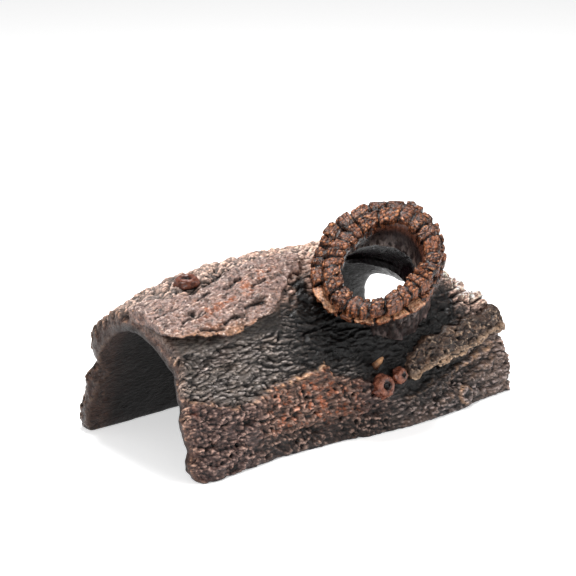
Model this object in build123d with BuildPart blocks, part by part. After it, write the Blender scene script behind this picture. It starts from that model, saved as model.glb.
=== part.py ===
from build123d import *

import os
from math import cos, pi, sin

# Resin log cave: a hollow half-log casting with a leaning branch-stump mouth.
#
# Design frame, millimetres: X runs along the log from the wide-open left end,
# Y runs from the front wall to the rear wall, Z is up and the log stands on Z=0.
# Everything is moved at the end so that the origin is the middle of the footprint.

os.makedirs("parts", exist_ok=True)

SHIFT = (-80.05, -35.2, 0.0)  # design frame to the part's own frame

# ---------------------------------------------------------------- log dimensions
FOOT = 4.0  # how far the outer skin runs below the ground plane before trimming

# outer skin of the log: station x, then (y, z) from the front foot over the crown
# to the rear foot
OUTER = {
    -4: [
        (0, -FOOT), (3, 9), (6.5, 21), (9.5, 30), (14, 42), (19, 49.5),
        (29, 53.5), (38, 54.5), (52, 50.5), (65, 42), (73, 24), (78.5, -FOOT)],
    10: [
        (-3, -FOOT), (1.5, 9), (5.5, 22), (9, 30), (14, 42), (18, 48.5),
        (29, 55), (42, 57.5), (55, 54), (66, 44), (73, 24), (77.5, -FOOT)],
    25: [
        (0, -FOOT), (2.5, 9), (5, 21), (9, 29), (14, 41), (18, 47.5),
        (29, 57), (44, 62), (57, 57), (67.5, 45), (74, 24), (77.5, -FOOT)],
    45: [
        (1.5, -FOOT), (3, 9), (5, 22), (9, 30), (14, 41), (18, 47.5),
        (29, 59), (44, 64), (58, 59), (69, 46), (75, 24), (78, -FOOT)],
    65: [
        (0, -FOOT), (2.5, 9), (5, 23), (8.5, 31), (14, 41), (19, 49),
        (31, 60), (45, 64.5), (59, 60), (70, 47), (76, 24), (79, -FOOT)],
    85: [
        (-3.5, -FOOT), (-0.5, 9), (2.5, 18), (8, 28), (14, 40), (20, 48.5),
        (31, 58.5), (45, 63.5), (59, 59.5), (70, 47), (76, 24), (79, -FOOT)],
    105: [
        (-5, -FOOT), (-2.5, 8), (1.5, 16), (8, 27), (14, 39), (20, 48.5),
        (31, 58.5), (45, 63), (58, 58.5), (69, 46), (75.5, 24), (78.5, -FOOT)],
    125: [
        (-4, -FOOT), (-2, 7), (3, 16), (5.5, 25), (10, 37), (16, 46),
        (28, 56), (43, 60), (56, 55.5), (67, 43.5), (73.5, 23), (76.5, -FOOT)],
    145: [
        (0, -FOOT), (1.5, 7), (4, 16), (5.5, 25), (9, 35), (14, 42),
        (26, 49), (41, 51.5), (54, 48), (65, 38), (71, 21), (74, -FOOT)],
    166: [
        (1.5, -FOOT), (2.5, 7), (4, 15), (5.5, 23), (9, 32), (14, 38),
        (25, 44), (38, 46), (51, 43), (61, 35), (68, 19), (71, -FOOT)],
}

# inner skin, laid out the same way; its feet run below those of the outer skin
INNER = {
    -6: [
        (6.5, -8), (10.5, 12), (14.5, 26), (20, 38), (27, 45.5),
        (36, 47.5), (47, 44), (58, 34.5), (66, 18), (71, -8)],
    12: [
        (4.5, -8), (9, 12), (14, 26), (20, 38), (28, 46.5),
        (38, 49), (49, 46.5), (60, 36.5), (66.5, 18), (70.5, -8)],
    35: [
        (7, -8), (9.5, 12), (14, 26), (20, 38), (29, 49),
        (41, 54), (53, 51), (62.5, 38), (68, 18), (71, -8)],
    65: [
        (6.5, -8), (9, 12), (13.5, 26), (20, 38), (30, 51),
        (42, 56), (54, 53), (64, 39), (69, 18), (72, -8)],
    90: [
        (3, -8), (6, 12), (12, 25), (20, 38), (30, 51),
        (42, 56), (54, 53), (64, 39), (69.5, 18), (72, -8)],
    115: [
        (1.5, -8), (5, 12), (10.5, 24), (18, 37), (29, 50),
        (41, 54.5), (53, 51), (62.5, 37.5), (68, 17), (71, -8)],
    140: [
        (6, -8), (8, 11), (11.5, 23), (17, 33), (27, 43),
        (38, 46), (49, 43), (58, 32.5), (64.5, 16), (68, -8)],
    168: [
        (8, -8), (9, 11), (12, 21), (17, 29), (26, 37),
        (37, 39), (47, 36.5), (55, 29), (61, 15), (65, -8)],
}

# the broken ends, as side profiles (x, z) for the front part and the rear part
LEFT_FRONT = [
    (2.2, -6), (2.2, 1), (1.0, 5), (1.6, 12), (1.2, 22), (2.4, 28), (1.8, 31),
    (3.2, 35), (4.4, 41), (3.2, 44), (1.6, 50), (-0.5, 54), (-1.2, 60), (-1.2, 90)]
LEFT_REAR = [
    (1.0, -6), (1.0, 0), (-0.8, 4), (0, 12), (0.6, 20), (2.0, 25), (6.5, 27.5), (11.0, 29.5),
    (11.5, 33), (6.0, 36), (2.2, 38), (0.8, 42), (-0.4, 47), (-1.0, 60), (-1.0, 90)]
RIGHT_FRONT = [
    (160.0, -6), (160.0, 0), (161.0, 5), (160.4, 9), (158.8, 17), (157.6, 25), (155.6, 33),
    (153.6, 38), (150.0, 41), (146.5, 44), (143.5, 50), (140.5, 54), (139.0, 90)]
RIGHT_REAR = [
    (146.0, -6), (146.0, 0), (144.6, 10), (142.0, 20), (143.4, 30),
    (140.8, 40), (139.0, 48), (138.0, 56), (138.0, 90)]
SPLIT_Y = 25.0  # where the front profiles give way to the rear ones
# outer limits of the end cutters, well clear of the log
CUT_LEFT_X, CUT_RIGHT_X = -20, 185
CUT_FRONT_Y, CUT_REAR_Y = -20, 100

GROUND_SIZE = (260, 160, 100)  # block that cuts the feet flat at Z=0
GROUND_CENTRE = (80, 37, -GROUND_SIZE[2] / 2)

# ---------------------------------------------------------------- stump dimensions
# middle of the stump's mouth and the way it points; the same for its root in the wall
MOUTH, LEAN = Vector(94.8, 9.1, 63.4), Vector(-0.38, -0.53, 0.757)
ROOT, ROOT_LEAN = Vector(106.5, 29.5, 50.0), Vector(-0.20, -0.34, 0.92)

PLUG_R = 20.0  # plug of the stump collar, bonded into the log
PLUG_LENGTH = 45
PLUG_BORE_R = 16.2
BOND_GAP = 0.45  # radial thickness of the epoxy between plug and socket
SOCKET_R = PLUG_R + BOND_GAP
SOCKET_TOP = 14  # above the root's middle
SOCKET_LENGTH = 60
STUMP_ROOM_R = 26.5  # the side slab stops short of the stump
WAIST_DEPTH = 9.0  # below the mouth
ROOT_R = 24.5  # outside of the collar where it meets the log
CHAMBER_R = 18.4

# radii every 22.5 degrees, counter-clockwise round the axis from the horizontal
RING_INNER = [
    19.0, 21.0, 23.0, 23.2, 20.0, 17.0, 16.0, 16.9,
    18.4, 20.4, 22.0, 21.8, 18.9, 16.4, 15.8, 16.8]
RING_OUTER = [
    20.8, 24.2, 28.2, 30.2, 28.4, 25.2, 23.2, 22.7,
    23.4, 23.5, 22.6, 21.4, 19.4, 18.0, 17.6, 18.6]
COLLAR_RIM = [
    20.0, 21.5, 23.0, 23.6, 21.0, 18.4, 17.6, 18.0,
    19.2, 20.6, 21.8, 21.4, 19.4, 17.6, 17.2, 18.0]
COLLAR_WAIST = [
    21.2, 21.8, 22.6, 23.0, 22.0, 20.6, 20.0, 20.0,
    20.4, 21.0, 21.4, 21.2, 20.2, 19.2, 19.0, 19.8]
BORE_RIM = [
    15.6, 17.2, 18.8, 19.2, 16.8, 14.4, 13.6, 14.2,
    15.6, 17.2, 18.4, 18.0, 16.0, 14.2, 13.8, 14.4]
# depth of each ring's middle below the mouth, and the radius of its round section
INNER_DEPTH, INNER_BAND_R = 0.4, 3.9
OUTER_DEPTH, OUTER_BAND_R = 6.2, 3.7

# ---------------------------------------------------------------- bark slab dimensions
# how far each slab rises above the outer skin
CROWN_RISE = 3.6
SIDE_RISE = 2.8
CROWN_FLOOR = 48.8  # underside of the crown slab's overhanging lip
CROWN_BLANK_HEIGHT = 40
SIDE_BLANK_Y = 25  # rear face of the side slab's blank, which runs forwards from it
SIDE_BLANK_DEPTH = 50

# plan outline (x, y) of the crown slab
CROWN_PLAN = [
    (-6, 10), (18, 10.5), (38, 11.5), (49, 13), (56, 21), (64, 29.5), (73, 36),
    (71, 46), (56, 43.5), (42, 39.5), (26, 34), (12, 31), (-6, 29)]
# outline (x, z) of the side slab on the front wall
SIDE_OUTLINE = [
    (103.5, 16.2), (117, 19.6), (128, 20), (138, 21.8), (148, 24.6), (164, 27), (164, 37),
    (154, 34.4), (139, 33.6), (129, 31.6), (117, 31), (111, 27), (105.5, 23)]

# ---------------------------------------------------------------- peg dimensions
PEG_R = 1.5
PEG_DEPTH = 3.2  # below the seat
PEG_LIFT = 1.5  # slab pegs start this far out from the seat, inside the slab
PEG_CLEAR = 0.1  # radial clearance of a slab peg's hole
PEG_HOLE_EXTRA = 0.2  # how much deeper the hole is than the peg

# slab pegs: seat, outward direction
CROWN_PEGS = [
    (Vector(14, 22, 51.5), Vector(0, -0.5, 0.87)),
    (Vector(48, 27, 57.5), Vector(0, -0.5, 0.87)),
]
SIDE_PEGS = [
    (Vector(124, 4.6, 26), Vector(0, -0.94, 0.34)),
    (Vector(147, 6.2, 29), Vector(0, -0.94, 0.34)),
]


# ---------------------------------------------------------------- shape helpers
def section(x, points):
    """One closed section of the log across X."""
    with BuildSketch(Plane(origin=(x, 0, 0), x_dir=(0, 1, 0), z_dir=(1, 0, 0))) as sketch:
        with BuildLine():
            Spline(*points)
            Line(points[-1], points[0])
        make_face()
    return sketch.sketch


def skin(table):
    """The solid under a skin, lofted through its sections."""
    with BuildPart() as body:
        loft(sections=[section(x, points) for x, points in table.items()])
    return body.part


def raised(table, rise):
    """The skin's sections moved outwards by rise, square to each point's neighbours."""
    result = {}
    for x, points in table.items():
        moved = []
        for i, (y, z) in enumerate(points):
            y_before, z_before = points[max(i - 1, 0)]
            y_after, z_after = points[min(i + 1, len(points) - 1)]
            step_y, step_z = y_after - y_before, z_after - z_before
            size = (step_y**2 + step_z**2) ** 0.5
            moved.append((y - rise * step_z / size, z + rise * step_y / size))
        result[x] = moved
    return result


def prism(plane, outline, height):
    """A straight-edged outline extruded along the plane's normal."""
    with BuildPart() as body:
        with BuildSketch(plane):
            with BuildLine():
                Polyline(*outline, close=True)
            make_face()
        extrude(amount=height)
    return body.part


def front_facing(y):
    """The upright plane at y that is drawn in (x, z) and faces the front."""
    return Plane(origin=(0, y, 0), x_dir=(1, 0, 0), z_dir=(0, -1, 0))


def end_cutter(profile, far_x, front_y, rear_y):
    """Everything beyond a broken end's side profile, between two y values."""
    outline = [*profile, (far_x, profile[-1][1]), (far_x, profile[0][1])]
    return prism(front_facing(rear_y), outline, rear_y - front_y)


def rod(plane, r, length):
    """A cylinder that runs down from a plane, against its normal."""
    with BuildPart() as body:
        with BuildSketch(plane):
            Circle(r)
        extrude(amount=-length)
    return body.part


def slab_peg(seat, out, clearance=0.0, extra_depth=0.0):
    """A slab's locating peg, or the hole for it when given some clearance."""
    plane = Plane(origin=seat + out * PEG_LIFT, z_dir=out)
    return rod(plane, PEG_R + clearance, PEG_LIFT + PEG_DEPTH + extra_depth)


def turned(seat, out, outline):
    """A small casting turned about its own axis; outline is (radius, height above the seat)."""
    out = out.normalized()
    side = out.cross(Vector(1, 0, 0))
    with BuildPart() as body:
        with BuildSketch(Plane(origin=seat, x_dir=side, z_dir=side.cross(out))):
            with BuildLine():
                Polyline(*outline, close=True)
            make_face()
        revolve(axis=Axis(seat, out))
    return body.part


def leaning_plane(origin, lean):
    """A plane square to lean, with its x direction horizontal."""
    lean = lean.normalized()
    return Plane(origin=origin, x_dir=Vector(0, 0, 1).cross(lean), z_dir=lean)


stump_plane = leaning_plane(MOUTH, LEAN)
root_plane = leaning_plane(ROOT, ROOT_LEAN)


def into_log(r, top, length):
    """A cylinder along the root's axis, from top above its middle downwards."""
    return rod(root_plane.offset(top), r, length)


def around(radii):
    """Points at radii spaced evenly round a plane's origin."""
    step = 2 * pi / len(radii)
    return [(r * cos(i * step), r * sin(i * step)) for i, r in enumerate(radii)]


def even(radius):
    """The radii of a round station, as many as the uneven ones have."""
    return [radius] * len(COLLAR_RIM)


def oval(plane, radii):
    """A closed uneven oval face."""
    with BuildSketch(plane) as sketch:
        with BuildLine():
            Spline(*around(radii), periodic=True)
        make_face()
    return sketch.sketch


def tube(stations):
    """A solid lofted through ovals; each station is (plane, height above it, radii)."""
    with BuildPart() as body:
        loft(sections=[oval(plane.offset(height), radii) for plane, height, radii in stations])
    return body.part


def ring(radii, depth, band_r):
    """A closed band of round section that follows an uneven oval round the mouth."""
    with BuildPart() as band:
        with BuildLine(stump_plane.offset(-depth)) as path:
            Spline(*around(radii), periodic=True)
        with BuildSketch(Plane(origin=path.line @ 0, z_dir=path.line % 0)):
            Circle(band_r)
        sweep()
    return band.part


# ---------------------------------------------------------------- skins and broken ends
outer_skin = skin(OUTER)
inner_skin = skin(INNER)

ends = [
    end_cutter(LEFT_FRONT, CUT_LEFT_X, CUT_FRONT_Y, SPLIT_Y),
    end_cutter(LEFT_REAR, CUT_LEFT_X, SPLIT_Y, CUT_REAR_Y),
    end_cutter(RIGHT_FRONT, CUT_RIGHT_X, CUT_FRONT_Y, SPLIT_Y),
    end_cutter(RIGHT_REAR, CUT_RIGHT_X, SPLIT_Y, CUT_REAR_Y),
]

# ---------------------------------------------------------------- the branch stump
collar_outside = tube([
    (stump_plane, 0.6, COLLAR_RIM),
    (stump_plane, -WAIST_DEPTH, COLLAR_WAIST),
    (root_plane, 2.0, even(ROOT_R)),
    (root_plane, -14.0, even(ROOT_R + 1.0)),
])
# below its mouth the bore opens into a chamber, then narrows again through the plug
bore = tube([
    (stump_plane, 3.0, BORE_RIM),
    (stump_plane, -WAIST_DEPTH, even(15.8)),
    (stump_plane, -WAIST_DEPTH - 4.0, even(17.6)),
    (root_plane, -2.0, even(CHAMBER_R)),
    (root_plane, -12.0, even(PLUG_BORE_R)),
    (root_plane, -40.0, even(PLUG_BORE_R - 0.2)),
])
socket = into_log(SOCKET_R, SOCKET_TOP, SOCKET_LENGTH)

rim_ring_inner = ring(RING_INNER, INNER_DEPTH, INNER_BAND_R)
outer_band = ring(RING_OUTER, OUTER_DEPTH, OUTER_BAND_R)

# the log without the round opening that the plug fills
with BuildPart() as log_round_plug:
    add(outer_skin)
    add(into_log(PLUG_R, top=30, length=120), mode=Mode.SUBTRACT)

with BuildPart() as collar_rough:
    add(collar_outside)
    add(into_log(PLUG_R, top=0, length=PLUG_LENGTH))
    add(log_round_plug.part, mode=Mode.SUBTRACT)
    add(inner_skin, mode=Mode.SUBTRACT)
    for hollow in (bore, rim_ring_inner, outer_band):
        add(hollow, mode=Mode.SUBTRACT)

with BuildPart() as stump_collar:
    # slivers between the ring seats are dropped
    add(collar_rough.part.solids().sort_by(SortBy.VOLUME)[-1])

# epoxy between the plug and its socket, flush with both skins
with BuildPart() as collar_bond:
    add(socket)
    # the cutter overshoots the socket by 1 mm at each end
    add(into_log(PLUG_R, SOCKET_TOP + 1, SOCKET_LENGTH + 2), mode=Mode.SUBTRACT)
    add(outer_skin, mode=Mode.INTERSECT)
    add(inner_skin, mode=Mode.SUBTRACT)

with BuildPart() as rim_ring_outer:
    add(outer_band)
    add(rim_ring_inner, mode=Mode.SUBTRACT)
    add(outer_skin, mode=Mode.SUBTRACT)


# ---------------------------------------------------------------- bark slabs
def bark_slab(blank, rise, cutters, pegs):
    """The part of a blank that lies within rise of the outer skin, with its pegs."""
    cover = skin(raised(OUTER, rise))
    with BuildPart() as slab:
        add(blank)
        add(cover, mode=Mode.INTERSECT)
        add(outer_skin, mode=Mode.SUBTRACT)
        for cutter in cutters:
            add(cutter, mode=Mode.SUBTRACT)
        for seat, out in pegs:
            add(slab_peg(seat, out))
    return slab.part


crown_blank = prism(Plane.XY.offset(CROWN_FLOOR), CROWN_PLAN, CROWN_BLANK_HEIGHT)
crown_bark_slab = bark_slab(crown_blank, CROWN_RISE, ends, CROWN_PEGS)

side_blank = prism(front_facing(SIDE_BLANK_Y), SIDE_OUTLINE, SIDE_BLANK_DEPTH)
stump_room = into_log(STUMP_ROOM_R, top=40, length=90)
side_bark_slab = bark_slab(side_blank, SIDE_RISE, [*ends, stump_room], SIDE_PEGS)


# ---------------------------------------------------------------- burls, spur and knot
def cup(r, height):
    """Outline of a knot cup with a dimpled middle and a stem into the log."""
    sunk = 1.2
    return [
        (0, -PEG_DEPTH), (PEG_R, -PEG_DEPTH), (PEG_R, -sunk), (r * 0.92, -sunk),
        (r, height * 0.35), (r * 0.86, height * 0.85), (r * 0.68, height),
        (r * 0.45, height * 0.72), (r * 0.2, height * 0.45), (0, height * 0.4)]


SPUR_OUTLINE = [
    (0, -PEG_DEPTH), (1.3, -PEG_DEPTH), (1.5, -1.0), (2.3, -0.4),
    (1.9, 1.2), (1.3, 3.2), (0.8, 4.4), (0, 4.9)]
KNOT_OUTLINE = [
    (0, -PEG_DEPTH), (PEG_R, -PEG_DEPTH), (PEG_R, -1.8), (3.9, -1.6), (4.4, 0.2),
    (3.7, 1.1), (2.8, 0.9), (1.8, -0.3), (0, -0.6)]

# each is given by its seat on the skin, outward direction and outline
small_castings = {
    "burl_large": turned(
        Vector(89.7, 2.0, 17.3), Vector(0.05, -0.95, 0.31), cup(r=5.2, height=4.4)),
    "burl_small": turned(
        Vector(98.3, 2.4, 19.4), Vector(0.25, -0.92, 0.31), cup(r=3.5, height=3.8)),
    "twig_spur": turned(Vector(90.5, 6.0, 25.0), Vector(0.0, -0.62, 0.78), SPUR_OUTLINE),
    "crown_knot": turned(Vector(27.0, 44.5, 61.9), Vector(-0.10, 0.02, 0.99), KNOT_OUTLINE),
}

# ---------------------------------------------------------------- the log shell
with BuildPart() as log_rough:
    add(outer_skin)
    add(inner_skin, mode=Mode.SUBTRACT)
    for cutter in ends:
        add(cutter, mode=Mode.SUBTRACT)
    add(socket, mode=Mode.SUBTRACT)
    for seat, out in CROWN_PEGS + SIDE_PEGS:
        add(slab_peg(seat, out, PEG_CLEAR, PEG_HOLE_EXTRA), mode=Mode.SUBTRACT)
    for casting in small_castings.values():
        add(casting, mode=Mode.SUBTRACT)
    # the feet are ground flat
    with Locations(GROUND_CENTRE):
        Box(*GROUND_SIZE, mode=Mode.SUBTRACT)

with BuildPart() as log_shell:
    # a crumb left at the socket's edge is dropped
    add(log_rough.part.solids().sort_by(SortBy.VOLUME)[-1])

# ---------------------------------------------------------------- export in the part's own frame
pieces = {
    "log_shell": log_shell.part,
    "stump_collar": stump_collar.part,
    "collar_bond": collar_bond.part,
    "rim_ring_inner": rim_ring_inner,
    "rim_ring_outer": rim_ring_outer.part,
    "crown_bark_slab": crown_bark_slab,
    "side_bark_slab": side_bark_slab,
    **small_castings,
}
for label, piece in pieces.items():
    placed = piece.moved(Location(SHIFT))
    placed.label = label
    export_step(placed, f"parts/{label}.step")
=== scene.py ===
"""Looks for the resin log cave: bark, stump, rings of bark scales and small knots, sculpted in code round the fixed frame.

Everything is worked out in millimetres in a design frame: X runs along the log from its open left end,
Y from the front wall to the rear wall, Z up, the feet on Z = 0. SHIFT takes it to the row frame.
"""

import math

import bpy
import numpy as np
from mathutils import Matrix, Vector


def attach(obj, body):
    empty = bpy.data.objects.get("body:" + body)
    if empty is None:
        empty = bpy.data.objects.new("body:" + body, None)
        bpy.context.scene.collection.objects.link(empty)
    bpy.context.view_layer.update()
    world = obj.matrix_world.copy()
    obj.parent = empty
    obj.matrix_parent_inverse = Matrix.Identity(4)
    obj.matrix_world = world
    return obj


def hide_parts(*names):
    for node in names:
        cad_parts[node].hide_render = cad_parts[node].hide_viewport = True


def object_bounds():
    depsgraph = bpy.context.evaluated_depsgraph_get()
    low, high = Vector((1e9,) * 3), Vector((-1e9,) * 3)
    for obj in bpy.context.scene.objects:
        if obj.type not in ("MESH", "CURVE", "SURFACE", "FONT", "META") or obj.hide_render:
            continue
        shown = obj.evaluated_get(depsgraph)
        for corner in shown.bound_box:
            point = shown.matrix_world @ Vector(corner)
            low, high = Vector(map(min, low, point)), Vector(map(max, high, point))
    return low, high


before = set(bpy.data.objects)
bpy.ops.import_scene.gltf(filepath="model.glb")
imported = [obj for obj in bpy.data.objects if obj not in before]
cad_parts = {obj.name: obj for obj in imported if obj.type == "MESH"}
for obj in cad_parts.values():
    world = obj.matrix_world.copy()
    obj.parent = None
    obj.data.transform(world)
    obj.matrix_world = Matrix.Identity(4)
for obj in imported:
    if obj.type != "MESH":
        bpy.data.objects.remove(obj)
CAD_BOX = [list(c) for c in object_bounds()]

SHIFT = np.array([-80.05, -35.2, 0.0])
RNG = np.random.RandomState(11)
GRADS = RNG.normal(size=(256, 3))
GRADS /= np.linalg.norm(GRADS, axis=1)[:, None]
GRADS = GRADS.astype(np.float32)


# ------------------------------------------------------------------ small maths
def smooth(lo, hi, v):
    t = np.clip((v - lo) / (hi - lo), 0, 1)
    return t * t * (3 - 2 * t)


def bump(v, centre, width):
    """1 at centre, 0 beyond width either side."""
    return 1 - smooth(0, width, np.abs(v - centre))


def unit(v):
    v = np.asarray(v, float)
    return v / np.linalg.norm(v)


def mix(a, b, t):
    return a + (b - a) * t


def hashed(ix, iy, iz, seed):
    h = (
        ix.astype(np.uint32) * np.uint32(374761393)
        + iy.astype(np.uint32) * np.uint32(668265263)
        + iz.astype(np.uint32) * np.uint32(2246822519)
        + np.uint32((seed * 3266489917) & 0xFFFFFFFF)
    )
    h = (h ^ (h >> np.uint32(13))) * np.uint32(1274126177)
    h = (h ^ (h >> np.uint32(15))) * np.uint32(2246822519)
    return h ^ (h >> np.uint32(16))


def perlin(x, y, z, seed=0):
    """Gradient noise, about -1 to 1."""
    x, y, z = (np.asarray(a, np.float32) for a in np.broadcast_arrays(x, y, z))
    ix, iy, iz = (np.floor(a).astype(np.int64) for a in (x, y, z))
    fx, fy, fz = x - ix, y - iy, z - iz
    u, v, w = (f * f * f * (f * (f * 6 - 15) + 10) for f in (fx, fy, fz))
    out = np.zeros(x.shape, np.float32)
    for dx in (0, 1):
        wx = u if dx else 1 - u
        for dy in (0, 1):
            wy = v if dy else 1 - v
            for dz in (0, 1):
                g = GRADS[hashed(ix + dx, iy + dy, iz + dz, seed) & np.uint32(255)]
                d = g[..., 0] * (fx - dx) + g[..., 1] * (fy - dy) + g[..., 2] * (fz - dz)
                out += wx * wy * (w if dz else 1 - w) * d
    return out * 1.7


def fbm(x, y, z, octaves=4, gain=0.5, seed=0):
    out, amp, total, k = 0, 1.0, 0.0, 1.0
    for i in range(octaves):
        out = out + amp * perlin(x * k, y * k, z * k, seed + i * 17)
        total += amp
        amp *= gain
        k *= 2.03
    return out / total


def worley(x, y, z, seed=0, jitter=0.9):
    """Distances to the nearest and second nearest scattered point, and a random number of the nearest."""
    x, y, z = (np.asarray(a, np.float32) for a in np.broadcast_arrays(x, y, z))
    ix, iy, iz = (np.floor(a).astype(np.int64) for a in (x, y, z))
    f1 = np.full(x.shape, 9.0, np.float32)
    f2 = np.full(x.shape, 9.0, np.float32)
    ident = np.zeros(x.shape, np.float32)
    for dx in (-1, 0, 1):
        for dy in (-1, 0, 1):
            for dz in (-1, 0, 1):
                h = hashed(ix + dx, iy + dy, iz + dz, seed)
                px = ix + dx + 0.5 + jitter * (((h & np.uint32(1023)) / 1023.0) - 0.5)
                py = iy + dy + 0.5 + jitter * ((((h >> np.uint32(10)) & np.uint32(1023)) / 1023.0) - 0.5)
                pz = iz + dz + 0.5 + jitter * ((((h >> np.uint32(20)) & np.uint32(1023)) / 1023.0) - 0.5)
                d = ((x - px) ** 2 + (y - py) ** 2 + (z - pz) ** 2).astype(np.float32)
                nearer = d < f1
                f2 = np.where(nearer, f1, np.minimum(f2, d))
                ident = np.where(nearer, ((h >> np.uint32(5)) & np.uint32(4095)) / 4095.0, ident)
                f1 = np.where(nearer, d, f1)
    return np.sqrt(f1), np.sqrt(f2), ident.astype(np.float32)


def smax(a, b, k):
    h = np.clip(0.5 - 0.5 * (a - b) / k, 0, 1)
    return a * (1 - h) + b * h + k * h * (1 - h)


def smin(a, b, k):
    return -smax(-a, -b, k)


def near_line(x, y, line):
    """Distance to a polyline in a plane, and how far along it the nearest point is, 0 to 1."""
    line = np.asarray(line, float)
    best = np.full(np.shape(x), 1e9)
    along = np.zeros(np.shape(x))
    steps = np.r_[0, np.cumsum(np.linalg.norm(np.diff(line, axis=0), axis=1))]
    for i in range(len(line) - 1):
        a, b = line[i], line[i + 1]
        d = b - a
        t = np.clip(((x - a[0]) * d[0] + (y - a[1]) * d[1]) / (d @ d), 0, 1)
        dist = np.hypot(x - a[0] - t * d[0], y - a[1] - t * d[1])
        closer = dist < best
        along = np.where(closer, (steps[i] + t * (steps[i + 1] - steps[i])) / steps[-1], along)
        best = np.where(closer, dist, best)
    return best, along


def in_polygon(x, y, poly):
    """Signed distance to a polygon's edge, negative inside."""
    poly = np.asarray(poly, float)
    inside = np.zeros(np.shape(x), bool)
    n = len(poly)
    for i in range(n):
        (x0, y0), (x1, y1) = poly[i], poly[(i + 1) % n]
        if y0 != y1:
            cross = ((y0 > y) != (y1 > y)) & (x < (x1 - x0) * (y - y0) / (y1 - y0) + x0)
            inside ^= cross
    d, _ = near_line(x, y, np.vstack([poly, poly[:1]]))
    return np.where(inside, -d, d)


# ------------------------------------------------------------------ meshing
def surface_nets(f, origin, h):
    """Vertices and quads of the level 0 of f on a grid; f is negative inside."""
    inside = f < 0
    total = np.zeros(tuple(n - 1 for n in f.shape), np.uint8)
    for a in (0, 1):
        for b in (0, 1):
            for c in (0, 1):
                total += inside[a : f.shape[0] - 1 + a, b : f.shape[1] - 1 + b, c : f.shape[2] - 1 + c]
    ci, cj, ck = np.nonzero((total > 0) & (total < 8))
    index = np.full(total.shape, -1, np.int32)
    index[ci, cj, ck] = np.arange(len(ci))
    corner = {}
    for a in (0, 1):
        for b in (0, 1):
            for c in (0, 1):
                corner[a, b, c] = f[ci + a, cj + b, ck + c].astype(np.float64)
    acc, cnt = np.zeros((len(ci), 3)), np.zeros(len(ci))
    for axis in range(3):
        others = [i for i in range(3) if i != axis]
        for p in (0, 1):
            for q in (0, 1):
                lo = [0, 0, 0]
                lo[others[0]], lo[others[1]] = p, q
                hi = list(lo)
                hi[axis] = 1
                a, b = corner[tuple(lo)], corner[tuple(hi)]
                hit = (a < 0) != (b < 0)
                t = np.where(hit, a / np.where(hit, a - b, 1), 0)
                for k in range(3):
                    acc[:, k] += np.where(hit, lo[k] + (t if k == axis else 0), 0)
                cnt += hit
    verts = (np.stack([ci, cj, ck], 1) + acc / cnt[:, None]) * h + np.asarray(origin)
    quads = []
    nx, ny, nz = f.shape
    change = inside[:-1, 1:-1, 1:-1] != inside[1:, 1:-1, 1:-1]
    i, j, k = np.nonzero(change)
    j, k = j + 1, k + 1
    q = np.stack([index[i, j - 1, k - 1], index[i, j, k - 1], index[i, j, k], index[i, j - 1, k]], 1)
    quads.append(np.where(inside[i, j, k][:, None], q, q[:, ::-1]))
    change = inside[1:-1, :-1, 1:-1] != inside[1:-1, 1:, 1:-1]
    i, j, k = np.nonzero(change)
    i, k = i + 1, k + 1
    q = np.stack([index[i - 1, j, k - 1], index[i - 1, j, k], index[i, j, k], index[i, j, k - 1]], 1)
    quads.append(np.where(inside[i, j, k][:, None], q, q[:, ::-1]))
    change = inside[1:-1, 1:-1, :-1] != inside[1:-1, 1:-1, 1:]
    i, j, k = np.nonzero(change)
    i, j = i + 1, j + 1
    q = np.stack([index[i - 1, j - 1, k], index[i, j - 1, k], index[i, j, k], index[i - 1, j, k]], 1)
    quads.append(np.where(inside[i, j, k][:, None], q, q[:, ::-1]))
    return verts, np.vstack(quads)


class Skin:
    """A quad mesh with the neighbour sums that relaxing and cavity tests need."""

    def __init__(self, verts, quads):
        self.v, self.q = np.asarray(verts, float), np.asarray(quads)
        self.keep_largest()

    def edges(self):
        e = np.vstack([self.q[:, [0, 1]], self.q[:, [1, 2]], self.q[:, [2, 3]], self.q[:, [3, 0]]])
        return np.unique(np.sort(e, axis=1), axis=0)

    def keep_largest(self):
        e = self.edges()
        label = np.arange(len(self.v))
        while True:
            m = np.minimum(label[e[:, 0]], label[e[:, 1]])
            new = label.copy()
            np.minimum.at(new, e[:, 0], m)
            np.minimum.at(new, e[:, 1], m)
            new = new[new]
            if (new == label).all():
                break
            label = new
        big = np.bincount(label).argmax()
        keep = label == big
        remap = np.cumsum(keep) - 1
        self.q = remap[self.q[keep[self.q[:, 0]]]]
        self.v = self.v[keep]
        self.e = self.edges()
        self.deg = np.bincount(self.e.ravel(), minlength=len(self.v)).astype(float)

    def mean(self, values):
        """Average of each vertex's neighbours."""
        values = np.asarray(values, float)
        if values.ndim == 1:
            s = np.bincount(self.e[:, 0], values[self.e[:, 1]], len(self.v)) + np.bincount(self.e[:, 1], values[self.e[:, 0]], len(self.v))
            return s / np.maximum(self.deg, 1)
        return np.stack([self.mean(values[:, k]) for k in range(values.shape[1])], 1)

    def spread(self, values, times, share=0.5):
        for _ in range(times):
            values = values + share * (self.mean(values) - values)
        return values

    def relax(self, times, share=0.5, back=0.0, fixed=None):
        for _ in range(times):
            self.v = self.step(share, fixed)
            if back:
                self.v = self.step(-back, fixed)
        return self

    def step(self, share, fixed):
        d = share * (self.mean(self.v) - self.v)
        if fixed is not None:
            d[fixed] = 0
        return self.v + d

    def normals(self):
        a, b, c, d = (self.v[self.q[:, i]] for i in range(4))
        n = np.cross(c - a, d - b)
        out = np.zeros_like(self.v)
        for i in range(4):
            for k in range(3):
                out[:, k] += np.bincount(self.q[:, i], n[:, k], len(self.v))
        return out / np.maximum(np.linalg.norm(out, axis=1), 1e-12)[:, None]

    def hollow(self, times, share=0.5):
        """Positive in hollows and negative on ridges, in millimetres, at a scale set by times."""
        n = self.normals()
        far = self.spread(self.v, times, share)
        return ((far - self.v) * n).sum(1)


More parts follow.
